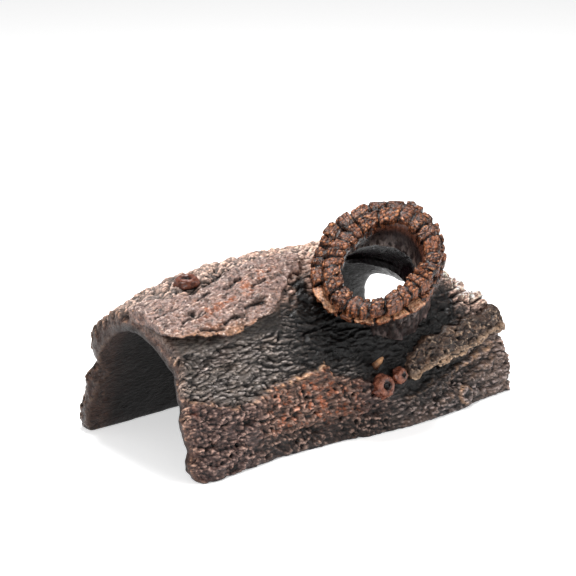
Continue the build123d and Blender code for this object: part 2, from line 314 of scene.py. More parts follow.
def sculpt(lo, hi, h, field):
    """A skin round where field(x, y, z) is below 0."""
    axes = [np.arange(lo[i], hi[i] + h, h, dtype=np.float32) for i in range(3)]
    shape = tuple(len(a) for a in axes)
    f = np.empty(shape, np.float32)
    chunk = 24
    for i in range(0, shape[0], chunk):
        gx, gy, gz = np.meshgrid(axes[0][i : i + chunk], axes[1], axes[2], indexing="ij")
        f[i : i + chunk] = field(gx, gy, gz)
    f = np.where(f == 0, 1e-6, f)
    f[0], f[-1], f[:, 0], f[:, -1], f[:, :, 0], f[:, :, -1] = (1.0,) * 6
    return Skin(*surface_nets(f, lo, h))


# ------------------------------------------------------------------ the log's two skins, as in the CAD
OUTER = {
    -4: [(0, -4), (3, 9), (6.5, 21), (9.5, 30), (14, 42), (19, 49.5), (29, 53.5), (38, 54.5), (52, 50.5), (65, 42), (73, 24), (78.5, -4)],
    10: [(-3, -4), (1.5, 9), (5.5, 22), (9, 30), (14, 42), (18, 48.5), (29, 55), (42, 57.5), (55, 54), (66, 44), (73, 24), (77.5, -4)],
    25: [(0, -4), (2.5, 9), (5, 21), (9, 29), (14, 41), (18, 47.5), (29, 57), (44, 62), (57, 57), (67.5, 45), (74, 24), (77.5, -4)],
    45: [(1.5, -4), (3, 9), (5, 22), (9, 30), (14, 41), (18, 47.5), (29, 59), (44, 64), (58, 59), (69, 46), (75, 24), (78, -4)],
    65: [(0, -4), (2.5, 9), (5, 23), (8.5, 31), (14, 41), (19, 49), (31, 60), (45, 64.5), (59, 60), (70, 47), (76, 24), (79, -4)],
    85: [(-3.5, -4), (-0.5, 9), (2.5, 18), (8, 28), (14, 40), (20, 48.5), (31, 58.5), (45, 63.5), (59, 59.5), (70, 47), (76, 24), (79, -4)],
    105: [(-5, -4), (-2.5, 8), (1.5, 16), (8, 27), (14, 39), (20, 48.5), (31, 58.5), (45, 63), (58, 58.5), (69, 46), (75.5, 24), (78.5, -4)],
    125: [(-4, -4), (-2, 7), (3, 16), (5.5, 25), (10, 37), (16, 46), (28, 56), (43, 60), (56, 55.5), (67, 43.5), (73.5, 23), (76.5, -4)],
    145: [(0, -4), (1.5, 7), (4, 16), (5.5, 25), (9, 35), (14, 42), (26, 49), (41, 51.5), (54, 48), (65, 38), (71, 21), (74, -4)],
    166: [(1.5, -4), (2.5, 7), (4, 15), (5.5, 23), (9, 32), (14, 38), (25, 44), (38, 46), (51, 43), (61, 35), (68, 19), (71, -4)],
}
INNER = {
    -6: [(6.5, -8), (10.5, 12), (14.5, 26), (20, 38), (27, 45.5), (36, 47.5), (47, 44), (58, 34.5), (66, 18), (71, -8)],
    12: [(4.5, -8), (9, 12), (14, 26), (20, 38), (28, 46.5), (38, 49), (49, 46.5), (60, 36.5), (66.5, 18), (70.5, -8)],
    35: [(7, -8), (9.5, 12), (14, 26), (20, 38), (29, 49), (41, 54), (53, 51), (62.5, 38), (68, 18), (71, -8)],
    65: [(6.5, -8), (9, 12), (13.5, 26), (20, 38), (30, 51), (42, 56), (54, 53), (64, 39), (69, 18), (72, -8)],
    90: [(3, -8), (6, 12), (12, 25), (20, 38), (30, 51), (42, 56), (54, 53), (64, 39), (69.5, 18), (72, -8)],
    115: [(1.5, -8), (5, 12), (10.5, 24), (18, 37), (29, 50), (41, 54.5), (53, 51), (62.5, 37.5), (68, 17), (71, -8)],
    140: [(6, -8), (8, 11), (11.5, 23), (17, 33), (27, 43), (38, 46), (49, 43), (58, 32.5), (64.5, 16), (68, -8)],
    168: [(8, -8), (9, 11), (12, 21), (17, 29), (26, 37), (37, 39), (47, 36.5), (55, 29), (61, 15), (65, -8)],
}
MID_Y = 38.0
TH = np.linspace(-0.25, math.pi + 0.25, 421)
XS = np.arange(-6.0, 167.0, 1.0)


def catmull(points, n=24):
    p = np.asarray(points, float)
    p = np.vstack([2 * p[0] - p[1], p, 2 * p[-1] - p[-2]])
    out = []
    for i in range(1, len(p) - 2):
        t = np.linspace(0, 1, n, endpoint=False)[:, None]
        a, b, c, d = p[i - 1], p[i], p[i + 1], p[i + 2]
        out.append(0.5 * (2 * b + (c - a) * t + (2 * a - 5 * b + 4 * c - d) * t**2 + (3 * b - a - 3 * c + d) * t**3))
    return np.vstack(out + [p[-2:-1]])


def angle_of(y, z):
    a = np.arctan2(z, y - MID_Y)
    return np.where(a < -1.2, a + 2 * math.pi, a)


def polar(table):
    """Radius from the log's middle line for every x in XS and angle in TH."""
    stations = sorted(table)
    rows = []
    for x in stations:
        c = catmull(table[x])
        a, r = angle_of(c[:, 0], c[:, 1]), np.hypot(c[:, 0] - MID_Y, c[:, 1])
        o = np.argsort(a)
        rows.append(np.interp(TH, a[o], r[o]))
    rows = np.array(rows)
    out = np.empty((len(XS), len(TH)))
    for k, x in enumerate(XS):
        i = int(np.clip(np.searchsorted(stations, x) - 1, 0, len(stations) - 2))
        x0, x1 = stations[i], stations[i + 1]
        t = np.clip((x - x0) / (x1 - x0), 0, 1)
        p0, p1 = rows[i], rows[i + 1]
        m0 = (rows[i + 1] - rows[i - 1]) / (x1 - stations[i - 1]) if i > 0 else (p1 - p0) / (x1 - x0)
        m1 = (rows[i + 2] - rows[i]) / (stations[i + 2] - x0) if i + 2 < len(stations) else (p1 - p0) / (x1 - x0)
        d = x1 - x0
        out[k] = (2 * t**3 - 3 * t**2 + 1) * p0 + (t**3 - 2 * t**2 + t) * d * m0 + (3 * t**2 - 2 * t**3) * p1 + (t**3 - t**2) * d * m1
    return out.astype(np.float32)


R_OUT, R_IN = polar(OUTER), polar(INNER)


def slope_factor(r):
    d = np.gradient(r, TH, axis=1)
    return (1 / np.sqrt(1 + (d / r) ** 2)).astype(np.float32)


G_OUT, G_IN = slope_factor(R_OUT), slope_factor(R_IN)
# arc length up the outer skin from the front foot, over the crown to the rear foot
_y, _z = MID_Y + R_OUT * np.cos(TH), R_OUT * np.sin(TH)
_step = np.hypot(np.diff(_y, axis=1), np.diff(_z, axis=1))
_cum = np.concatenate([np.zeros((len(XS), 1)), np.cumsum(_step, axis=1)], 1)
_foot = int(np.argmin(np.abs(TH - math.pi)))
ARC = (_cum[:, _foot : _foot + 1] - _cum).astype(np.float32)


def look(table, x, th):
    """Bilinear value of a table at x and angle."""
    u = np.clip(x - XS[0], 0, len(XS) - 1.001)
    v = np.clip((th - TH[0]) / (TH[1] - TH[0]), 0, len(TH) - 1.001)
    i, j = u.astype(np.int32), v.astype(np.int32)
    u, v = (u - i).astype(np.float32), (v - j).astype(np.float32)
    return (table[i, j] * (1 - u) + table[i + 1, j] * u) * (1 - v) + (table[i, j + 1] * (1 - u) + table[i + 1, j + 1] * u) * v


# the broken ends: angle in degrees (180 front foot, 90 crest, 0 rear foot) and x
LEFT_END = [(0, 1.0), (6, -0.4), (14, -0.2), (22, 0.4), (30, 0.8), (35, 2.2), (38.5, 4.6), (41, 6.2), (43.5, 5.6), (46.5, 2.4), (50, 0.6), (56, -0.2), (66, -0.5), (80, -0.6), (90, -0.6), (100, -0.5), (108, 0.6), (114, 2.0), (119, 3.6), (124, 3.2), (131, 1.6), (137, 2.0), (143, 0.8), (152, 1.0), (161, 1.8), (168, 1.0), (173, 0.6), (180, 2.4)]
RIGHT_END = [(0, 146), (8, 145.4), (15, 144), (24, 142.4), (32, 141.4), (40, 138.4), (46, 135.6), (52, 134.2), (58, 133.2), (63, 132.2), (67, 132.2), (69.5, 133.0), (71.5, 135.6), (75, 138.2), (82, 139.0), (90, 139.6), (98, 141), (104, 143.2), (109, 145.4), (113, 148.0), (118, 149.2), (123, 152.6), (128, 154.4), (134, 156.2), (141, 157.4), (150, 158.8), (158, 160.2), (167, 161.0), (174, 160.4), (180, 160.0)]
_deg = np.degrees(TH)
X_LEFT = np.interp(_deg, *np.array(LEFT_END).T).astype(np.float32)
X_RIGHT = np.interp(_deg, *np.array(RIGHT_END).T).astype(np.float32)


def look_th(row, th):
    v = np.clip((th - TH[0]) / (TH[1] - TH[0]), 0, len(TH) - 1.001)
    j = v.astype(np.int32)
    v = (v - j).astype(np.float32)
    return row[j] * (1 - v) + row[j + 1] * v


# the branch stump: mouth and root axes
MOUTH, LEAN = np.array([94.8, 9.1, 63.4]), unit([-0.38, -0.53, 0.757])
ROOT, ROOT_LEAN = np.array([106.5, 29.5, 50.0]), unit([-0.20, -0.34, 0.92])
SIDE = unit(np.cross([0, 0, 1], LEAN))
RISE = np.cross(LEAN, SIDE)


def mouth_frame(x, y, z):
    """Across, up and depth below the mouth's plane."""
    p = (x - MOUTH[0], y - MOUTH[1], z - MOUTH[2])
    return tuple(sum(p[k] * axis[k] for k in range(3)) for axis in (SIDE, RISE, -LEAN))


ROOT_U = unit(SIDE - (SIDE @ ROOT_LEAN) * ROOT_LEAN)
ROOT_V = np.cross(ROOT_LEAN, ROOT_U)
# how wide the hole under the stump may be where it breaks the bark, every 15 degrees round the root
HOLE_TOP = [19.4, 19.4, 19.4, 19.4, 19.4, 19.4, 19.4, 17.7, 15.7, 14.2, 13.8, 13.9, 14.5, 16.0, 18.1, 19.4, 19.4, 19.4, 19.4, 19.4, 19.4, 19.4, 19.4, 19.4]


def round_table(values, deg):
    """Smooth periodic reading of evenly spaced values at angles in degrees."""
    v = np.asarray(values, float)
    n = len(v)
    t = (np.asarray(deg, float) % 360) / 360 * n
    i = np.floor(t).astype(int) % n
    f = t - np.floor(t)
    a, b, c, d = (v[(i + k) % n] for k in (-1, 0, 1, 2))
    return 0.5 * (2 * b + (c - a) * f + (2 * a - 5 * b + 4 * c - d) * f**2 + (3 * b - a - 3 * c + d) * f**3)


# ------------------------------------------------------------------ log shell
def log_field(x, y, z):
    th = angle_of(y, z).astype(np.float32)
    rho = np.hypot(y - MID_Y, z)
    out = (rho - look(R_OUT, x, th)) * look(G_OUT, x, th)
    deg = np.degrees(th)
    droop = smooth(124, 138, x) * (np.interp(deg, [40, 50, 58, 65, 70, 76, 81, 86, 100, 112], [0, -0.05, -0.06, -0.05, 0.0, 0.065, 0.12, 0.13, 0.12, 0.0]))
    inn = (look(R_IN, x, th) * (1 - droop) - rho) * look(G_IN, x, th)
    f = smax(out, inn, 1.6)
    xl, xr = look_th(X_LEFT, th), look_th(X_RIGHT, th)
    ragged = 0.9 * perlin(th * 7.0, rho * 0.10, x * 0 + 3.3, 5) + 0.5 * perlin(th * 17.0, rho * 0.22, x * 0 + 1.1, 6)
    f = smax(f, (xl + ragged * 0.8 - x) * 0.9, 1.4)
    f = smax(f, (x - xr - ragged * 1.1) * 0.8, 1.6)
    # hollowed up into the stump
    s = (x - ROOT[0]) * ROOT_LEAN[0] + (y - ROOT[1]) * ROOT_LEAN[1] + (z - ROOT[2]) * ROOT_LEAN[2]
    r = np.sqrt(np.maximum((x - ROOT[0]) ** 2 + (y - ROOT[1]) ** 2 + (z - ROOT[2]) ** 2 - s * s, 0))
    p = (x - ROOT[0], y - ROOT[1], z - ROOT[2])
    u, v = (sum(p[k] * axis[k] for k in range(3)) for axis in (ROOT_U, ROOT_V))
    near_skin = smooth(-5.0, -3.0, out)
    hole = mix(19.4, round_table(HOLE_TOP, np.degrees(np.arctan2(v, u))), near_skin)
    f = smax(f, np.where(np.abs(s) < 26, hole - r, -9.0), 0.8)
    return np.maximum(f, -z)


UNDER = [(-0.6, 30.6), (10.5, 27.5), (21.3, 23.6), (31.2, 23.7), (40.7, 27.0), (49.8, 27.5), (62.4, 28.6), (66.5, 31.0), (68, 26), (76.5, 22.4), (84, 21.8)]
GROOVES = [
    ([(97, 13.5), (105, 14.2), (117, 17.2), (128, 17.6), (138, 19.4), (148, 22.0), (156, 24.4)], 2.4, 1.5),
    ([(112, 7.5), (121, 8.7), (131, 11.5), (141, 13.9), (149, 16.2), (156, 19.4)], 1.8, 1.5),
    ([(127, 16.6), (137, 17.6), (146, 19.5), (154, 21.0)], 0.9, 0.7),
]
CRACKS = [
    ([(25.4, 26.8), (26.0, 21.0), (25.0, 17.6), (31.0, 16.0), (38.0, 15.6), (44.0, 17.6)], 0.75, 1.1),
    ([(35.6, 25.6), (36.3, 21.0), (36.0, 16.4)], 0.6, 0.8),
    ([(5.0, 42.5), (11.0, 43.4), (16.0, 41.2), (22.0, 42.6), (27.0, 40.6)], 0.7, 1.0),
    ([(3.5, 37.6), (9.0, 36.6), (15.0, 38.8), (20.0, 37.6)], 0.6, 0.9),
    ([(32, 42), (41, 40.6), (52, 42.2), (60, 40.4), (71, 42)], 0.65, 0.9),
    ([(29, 36.6), (38, 35.0), (49, 36.2), (58, 34.6), (70, 35.6)], 0.6, 0.8),
    ([(12, 30.4), (22, 28.6), (30, 29.6), (40, 31.6)], 0.6, 0.8),
    ([(3, 9.6), (9, 8.6), (15, 10.6), (20, 9.4)], 0.7, 0.9),
    ([(46, 9.0), (55, 8.0), (64, 9.6), (76, 8.2)], 0.7, 0.8),
    ([(9.0, 20.0), (14.5, 18.4), (20.0, 19.6)], 0.6, 0.7),
]


def plates(x, y, z, s, size, seed):
    """Bark broken into plates: 0 in the cracks and 1 on the plates, and the plate's number."""
    wx = 1.6 * perlin(x / 9, s / 6, z * 0, seed + 1)
    ws = 1.2 * perlin(x / 9, s / 6, z * 0 + 5, seed + 2)
    f1, f2, ident = worley((x + wx) / size[0], (s + ws) / size[1], x * 0 + 0.5, seed)
    return smooth(0.02, 0.30, f2 - f1), ident


def bark(x, y, z, s, zones):
    """Relief of the log's outer skin in millimetres, with the named zones' weights."""
    warp = 2.2 * perlin(x / 15, s / 8, x * 0, 31) + 0.9 * perlin(x / 6, s / 4, x * 0, 32)
    sw = s + warp
    lumps = 1.25 * fbm(x / 17, s / 11, y * 0 + 0.7, 3, 0.5, 41)
    # long wavy fissures, in two sizes
    n1 = perlin(x / 10.5, sw / 2.1, x * 0 + 0.3, 51)
    n2 = perlin(x / 6.2, sw / 1.35, x * 0 + 9.3, 52)
    n3 = perlin(x / 18.0, sw / 4.2, x * 0 + 4.3, 53)
    crack = np.maximum(1 - np.abs(n1) * 4.2, 0) ** 1.3
    crack_fine = np.maximum(1 - np.abs(n2) * 4.0, 0) ** 1.2
    crack_wide = np.maximum(1 - np.abs(n3) * 5.5, 0) ** 1.2
    fibre = fbm(x / 4.2, sw / 1.0, y * 0 + 2.2, 3, 0.6, 61)
    grain = fbm(x / 2.3, s / 1.7, y / 2.0, 3, 0.6, 71)
    chunk, chunk_id = plates(x, y, z, s, (8.5, 5.0), 81)
    small, small_id = plates(x, y, z, s, (4.2, 2.6), 83)
    rough = fbm(x / 3.4, s / 2.9, y / 3.1, 4, 0.6, 91)
    p1, _, pid = worley(x / 4.4, s / 3.6, x * 0 + 0.5, 95)
    pits = np.where(pid > 0.45, smooth(0.30, 0.12, p1), 0)

    calm = 0.62 + 1.08 * smooth(-0.28, 0.28, fbm(x / 10.0, s / 7.0, y * 0 + 1.3, 2, 0.5, 97))
    rough, grain, pits = rough * calm, grain * calm, pits * (0.3 + 0.7 * calm)
    upper, lower, right, crown, rear = (zones[k] for k in ("upper", "lower", "right", "crown", "rear"))
    h = lumps * (0.35 * upper + 1.45 * lower + 0.9 * right + 0.9 * crown + 1.0 * rear)
    h += upper * (-0.62 * crack - 0.62 * crack_fine - 0.55 * crack_wide + 0.75 * fibre + 0.30 * grain)
    h += lower * (-0.45 * crack - 0.35 * crack_wide - 0.25 * crack_fine + 1.15 * rough + 0.45 * grain - 0.9 * pits + 0.30 * (small_id - 0.5) * small - 0.18 * (1 - small))
    high = smooth(30, 46, s)
    h += right * (-0.55 * crack * (1 - 0.6 * high) - 0.35 * crack_fine + 0.5 * fibre + 0.85 * rough + 0.35 * grain - 0.6 * pits + (0.45 + 0.9 * high) * (chunk_id - 0.4) * chunk - (0.25 + 0.85 * high) * (1 - chunk))
    h += crown * (-0.45 * crack - 0.5 * crack_wide + 0.9 * rough + 0.45 * grain - 0.8 * pits + 0.9 * (chunk_id - 0.5) * chunk - 0.7 * (1 - chunk))
    h += rear * (-0.6 * crack - 0.6 * crack_wide + 0.5 * fibre + 0.65 * rough + 0.25 * grain - 0.5 * pits + 0.9 * (chunk_id - 0.5) * chunk - 0.8 * (1 - chunk))
    h = h * (1.3 - 0.15 * rear)
    return h, {"crack": np.maximum(crack, 0.8 * crack_wide), "pits": pits, "rough": rough, "fibre": fibre, "chunk": chunk, "grain": grain}


def front_features(x, z, s, front):
    """The ledge, the grooves and the long cracks of the front wall; relief, and a pale tan painted highlight along the
    top edge of each lip and round the knot's rim.
    """
    h = np.zeros(x.shape)
    lip = np.zeros(x.shape)
    zl = np.interp(x, *np.array(UNDER).T) + 1.0 * perlin(x / 5.0, x * 0, x * 0, 101) + 0.5 * perlin(x / 1.9, x * 0, x * 0 + 3, 102)
    along = smooth(-2, 4, x) * (1 - smooth(66, 72, x)) * (0.55 + 0.45 * smooth(30, 44, x))
    below = zl - z
    shelf = np.where(below > 0, 1.5 * np.exp(-np.maximum(below, 0) / 7.0) * smooth(-0.1, 0.7, below), 0)
    under = -0.55 * np.exp(-((below + 0.9) ** 2) / 1.2)
    h += along * (shelf + under)
    lip += along * np.exp(-((below - 0.6) ** 2) / 0.7) * smooth(-0.35, 0.25, perlin(x / 2.3, z / 2.0, x * 0, 103))
    for line, width, depth in GROOVES:
        d, t = near_line(x, z + 0.7 * perlin(x / 4, z / 4, x * 0, 111), line)
        fade = smooth(0, 0.12, t) * (1 - smooth(0.9, 1.0, t))
        h -= depth * fade * np.exp(-((d / width) ** 2))
        lip += 0.45 * fade * np.exp(-((d - width * 1.35) ** 2) / 0.5) * smooth(-0.3, 0.3, perlin(x / 2.3, z / 2.0, x * 0, 104))
    for line, width, depth in CRACKS:
        d, t = near_line(x + 0.8 * perlin(x / 2.5, z / 2.5, x * 0, 113), z + 0.8 * perlin(x / 2.5, z / 2.5, x * 0 + 7, 114), line)
        fade = smooth(0, 0.15, t) * (1 - smooth(0.8, 1.0, t))
        h -= depth * fade * np.exp(-((d / width) ** 2))
    # low foot lump at the near corner, and the round knot near the right foot
    d = np.hypot((x - 12) / 9.0, (z - 6.5) / 4.2)
    h += 1.1 * smooth(1.2, 0.5, d)
    d = np.hypot((x - 131.5) / 4.2, (z - 5.2) / 3.6)
    h += 1.0 * smooth(1.15, 0.7, d) - 0.8 * smooth(0.5, 0.15, d)
    lip += 0.7 * np.exp(-((d - 0.9) ** 2) / 0.02)
    d = np.hypot((x - 142.5) / 2.6, (z - 5.8) / 2.4)
    h -= 1.5 * smooth(1.1, 0.3, d)
    return h * front, lip * front


def finish_skin(skin, moved, detail):
    """Vertex masks: hollows and ridges at three sizes, and which way the skin faces."""
    n = skin.normals()
    a = skin.hollow(2, 0.6)
    b = skin.hollow(9, 0.6)
    c = skin.hollow(40, 0.6)
    return n, a, b, c


# ------------------------------------------------------------------ meshes and masks into Blender
def srgb(r, g, b):
    c = np.array([r, g, b], float) / 255
    return np.where(c <= 0.04045, c / 12.92, ((c + 0.055) / 1.055) ** 2.4)


def layer(colour, over, weight):
    return colour + (np.asarray(over) - colour) * np.clip(weight, 0, 1)[:, None]


def punch(colour, pivot, gamma):
    """More contrast about a pivot, mostly in brightness and a little in hue."""
    light = (colour @ np.array([0.2126, 0.7152, 0.0722]))[:, None]
    scale = (np.maximum(light, 1e-4) / pivot) ** (gamma - 1)
    return colour * scale * (colour / np.maximum(light, 1e-4)) ** 0.12


def to_object(name, skin, colour, gloss, node, material):
    """One Blender mesh from a skin, riding on the root body and standing for a CAD node."""
    co = ((skin.v + SHIFT) / 1000.0).astype(np.float32)
    n, q = len(co), skin.q
    me = bpy.data.meshes.new(name)
    me.vertices.add(n)
    me.vertices.foreach_set("co", co.ravel())
    me.loops.add(len(q) * 4)
    me.loops.foreach_set("vertex_index", q.astype(np.int32).ravel())
    me.polygons.add(len(q))
    me.polygons.foreach_set("loop_start", np.arange(0, len(q) * 4, 4, dtype=np.int32))
    me.polygons.foreach_set("loop_total", np.full(len(q), 4, np.int32))
    me.polygons.foreach_set("use_smooth", np.ones(len(q), bool))
    me.update(calc_edges=True)
    me.validate()
    paint = me.attributes.new("paint", "FLOAT_COLOR", "POINT")
    rgba = np.ones((n, 4), np.float32)
    rgba[:, :3] = np.clip(colour, 0.0005, 0.95)
    paint.data.foreach_set("color", rgba.ravel())
    shine = me.attributes.new("shine", "FLOAT", "POINT")
    shine.data.foreach_set("value", np.clip(gloss, 0, 1).astype(np.float32))
    obj = bpy.data.objects.new(name, me)
    bpy.context.scene.collection.objects.link(obj)
    me.materials.append(material)
    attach(obj, "root")
    if node:
        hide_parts(node)
    return obj


def resin(name, speck, grain_mm, bump_mm, rough, coat, fibre=(1, 1, 1)):
    """Painted, sealed resin: the sculpted paint broken up by finer specks, with fine relief and an uneven sheen."""
    mat = bpy.data.materials.new(name)
    mat.use_nodes = True
    nt = mat.node_tree
    nt.nodes.clear()
    new, link = nt.nodes.new, nt.links.new
    out, bsdf = new("ShaderNodeOutputMaterial"), new("ShaderNodeBsdfPrincipled")
    link(bsdf.outputs[0], out.inputs[0])
    coord, mapping = new("ShaderNodeTexCoord"), new("ShaderNodeMapping")
    link(coord.outputs["Object"], mapping.inputs["Vector"])
    mapping.inputs["Scale"].default_value = tuple(1000.0 / grain_mm / f for f in fibre)
    paint, shine = new("ShaderNodeAttribute"), new("ShaderNodeAttribute")
    paint.attribute_name, shine.attribute_name = "paint", "shine"

    def noise(scale, detail, rough_=0.6, distortion=0.0):
        t = new("ShaderNodeTexNoise")
        t.inputs["Scale"].default_value = scale
        t.inputs["Detail"].default_value = detail
        t.inputs["Roughness"].default_value = rough_
        t.inputs["Distortion"].default_value = distortion
        link(mapping.outputs[0], t.inputs["Vector"])
        return t

    def ramp(source, stops):
        r = new("ShaderNodeValToRGB")
        link(source, r.inputs[0])
        e = r.color_ramp.elements
        e[0].position, e[0].color = stops[0][0], (*stops[0][1], 1)
        e[1].position, e[1].color = stops[-1][0], (*stops[-1][1], 1)
        for p, c in stops[1:-1]:
            x = e.new(p)
            x.color = (*c, 1)
        return r

    def mixer(kind, fac, a, b):
        m = new("ShaderNodeMix")
        m.data_type, m.blend_type = "RGBA", kind
        if isinstance(fac, float):
            m.inputs[0].default_value = fac
        else:
            link(fac, m.inputs[0])
        for socket, value in ((m.inputs[6], a), (m.inputs[7], b)):
            if isinstance(value, tuple):
                socket.default_value = (*value, 1)
            else:
                link(value, socket)
        return m.outputs[2]

    fine, mid = noise(1.0, 4.0, 0.62, 0.3), noise(0.33, 3.0, 0.6, 0.6)
    dark = ramp(fine.outputs["Fac"], [(0.35, (0.20, 0.18, 0.17)), (0.48, (0.84, 0.83, 0.82)), (0.60, (1.0, 1.0, 1.0)), (0.72, (2.0, 1.93, 1.86))])
    c = mixer("MULTIPLY", speck, paint.outputs["Color"], dark.outputs["Color"])
    tone = ramp(mid.outputs["Fac"], [(0.30, (0.80, 0.82, 0.86)), (0.5, (1, 1, 1)), (0.72, (1.16, 1.06, 0.96))])
    c = mixer("MULTIPLY", 0.8, c, tone.outputs["Color"])
    link(c, bsdf.inputs["Base Color"])
    # sheen: sealed and patchy, duller where the paint is worn
    r = new("ShaderNodeMapRange")
    link(mid.outputs["Fac"], r.inputs["Value"])
    r.inputs["From Min"].default_value, r.inputs["From Max"].default_value = 0.3, 0.7
    r.inputs["To Min"].default_value, r.inputs["To Max"].default_value = rough + 0.16, rough - 0.08
    sub = new("ShaderNodeMath")
    sub.operation = "MULTIPLY_ADD"
    link(shine.outputs["Fac"], sub.inputs[0])
    sub.inputs[1].default_value = -0.30
    link(r.outputs[0], sub.inputs[2])
    sub.use_clamp = True
    link(sub.outputs[0], bsdf.inputs["Roughness"])
    bsdf.inputs["Specular IOR Level"].default_value = 0.12
    bsdf.inputs["Coat Weight"].default_value = 0.8 * coat
    bsdf.inputs["Coat Roughness"].default_value = 0.13
    # fine relief below what the mesh holds
    vor = new("ShaderNodeTexVoronoi")
    vor.inputs["Scale"].default_value = 0.62
    link(mapping.outputs[0], vor.inputs["Vector"])
    height = new("ShaderNodeMath")
    height.operation = "MULTIPLY_ADD"
    link(vor.outputs["Distance"], height.inputs[0])
    height.inputs[1].default_value = 0.35
    link(fine.outputs["Fac"], height.inputs[2])
    b = new("ShaderNodeBump")
    b.inputs["Strength"].default_value = 0.85
    b.inputs["Distance"].default_value = bump_mm / 1000.0
    link(height.outputs[0], b.inputs["Height"])
    link(b.outputs[0], bsdf.inputs["Normal"])
    if coat:
        link(b.outputs[0], bsdf.inputs["Coat Normal"])
    return mat


M_BARK = resin("bark_resin", 1.0, 0.80, 0.55, 0.42, 0.34, (2.4, 1, 1))
M_CROWN = resin("crown_bark_resin", 0.95, 0.85, 0.45, 0.42, 0.34, (1.7, 1, 1))
M_SIDE = resin("side_bark_resin", 0.95, 0.9, 0.45, 0.44, 0.30, (1.5, 1, 1))
M_STUMP = resin("stump_resin", 0.9, 0.9, 0.38, 0.42, 0.30, (1, 1, 1.9))
M_RIM = resin("rim_resin", 0.9, 0.7, 0.35, 0.36, 0.42)
M_BURL = resin("burl_resin", 0.6, 0.7, 0.18, 0.30, 0.55)
M_SPUR = resin("spur_resin", 0.6, 0.7, 0.18, 0.42, 0.25)
M_EPOXY = resin("epoxy", 0.4, 1.2, 0.10, 0.30, 0.5)

DARK = srgb(23, 16, 16)
TAN = srgb(212, 182, 152)
PALE = srgb(226, 212, 198)


# ------------------------------------------------------------------ the log
CROWN_PLAN = [(-6, 9.0), (10, 9.5), (20, 10.8), (30, 10.6), (38, 12.2), (45, 11.6), (50, 13.2), (52.5, 17.5), (55, 20.6), (60.5, 24.4), (63, 28.0), (68.5, 29.4), (75, 32), (78, 36), (74, 40.5), (66, 39.0), (58, 39.6), (50, 36.6), (43, 36.8), (35, 33.6), (28, 32.4), (22, 31.4), (17, 34.0), (12, 35.4), (7, 38.2), (1.5, 39.6), (-6, 40.5)]
H_LOG = 0.6
log = sculpt((-3.0, -9.0, -1.2), (164.0, 83.0, 68.5), H_LOG, log_field)
log.relax(2, 0.5)
th = angle_of(log.v[:, 1], log.v[:, 2])
rho = np.hypot(log.v[:, 1] - MID_Y, log.v[:, 2])
x, y, z = log.v.T
ro, ri = look(R_OUT, x, th), look(R_IN, x, th)
t = (rho - ri) / np.maximum(ro - ri, 0.5)
s = look(ARC, x, th)
outer = smooth(0.45, 0.85, t)
inner = smooth(0.55, 0.15, t)
rim = np.clip(1 - outer - inner, 0, 1)
near_rim = np.maximum(smooth(4.0, 0.6, x - look_th(X_LEFT, th)), smooth(4.0, 0.6, look_th(X_RIGHT, th) - x))

zl = np.interp(x, *np.array(UNDER).T)
front = smooth(58, 50, s)
lower = front * smooth(-1.5, 1.5, zl - z) * (1 - smooth(84, 98, x))
right = front * smooth(84, 100, x) + smooth(50, 58, s) * smooth(100, 80, s) * smooth(118, 134, x)
right = np.clip(right, 0, 1)
upper = np.clip(front - lower - right, 0, 1)
rear = smooth(92, 108, s) * (1 - right)
crown = np.clip(1 - upper - lower - right - rear, 0, 1)
zones = {"upper": upper, "lower": lower, "right": right, "crown": crown, "rear": rear}
relief, marks = bark(x, y, z, s, zones)
feature, lip = front_features(x, z, s, smooth(54, 46, s))
foot = smooth(0.4, 3.0, z)
# quiet under the crown's slab, with a furrow behind it
near = (z > 44) & (x < 80)
edge = np.full(len(x), 30.0)
edge[near] = in_polygon(x[near], y[near], CROWN_PLAN)
covered = smooth(1.2, -1.2, edge)
furrow = np.exp(-(((edge - 1.9) / 1.5) ** 2)) * smooth(22, 27, y) * smooth(62, 48, x)
relief = relief * (1 - 0.85 * covered) - 1.5 * furrow
inside = 0.5 * fbm(x / 16, y / 12, z / 12, 3, 0.5, 121) + 0.12 * fbm(x / 3, y / 3, z / 3, 3, 0.6, 122)
broken = 1.1 * fbm(x / 3.2, y / 2.6, z / 2.6, 3, 0.6, 123)
inside = inside + 0.8 * smooth(13, 5, x) * smooth(44, 52, y) * fbm(x / 4, y / 4, z / 4, 4, 0.6, 124)
move = outer * (relief + feature) * (0.35 + 0.65 * foot) + inner * inside * foot + rim * broken * foot
n0 = log.normals()
log.v = log.v + n0 * move[:, None]
log.relax(1, 0.22)
log.v[:, 2] = np.maximum(log.v[:, 2], 0.0)
log.v[:, 0] = np.clip(log.v[:, 0], -0.75, 160.9)
log.v[:, 1] = np.minimum(log.v[:, 1], 76.4)
nrm = log.normals()
a, b, c = log.hollow(2, 0.6), log.hollow(10, 0.6), log.hollow(45, 0.6)
x, y, z = log.v.T
spot = fbm(x / 7, y / 7, z / 7, 3, 0.55, 131)
spot2 = fbm(x / 2.6, y / 2.6, z / 2.6, 3, 0.6, 132)
big = fbm(x / 22, y / 22, z / 16, 2, 0.5, 133)

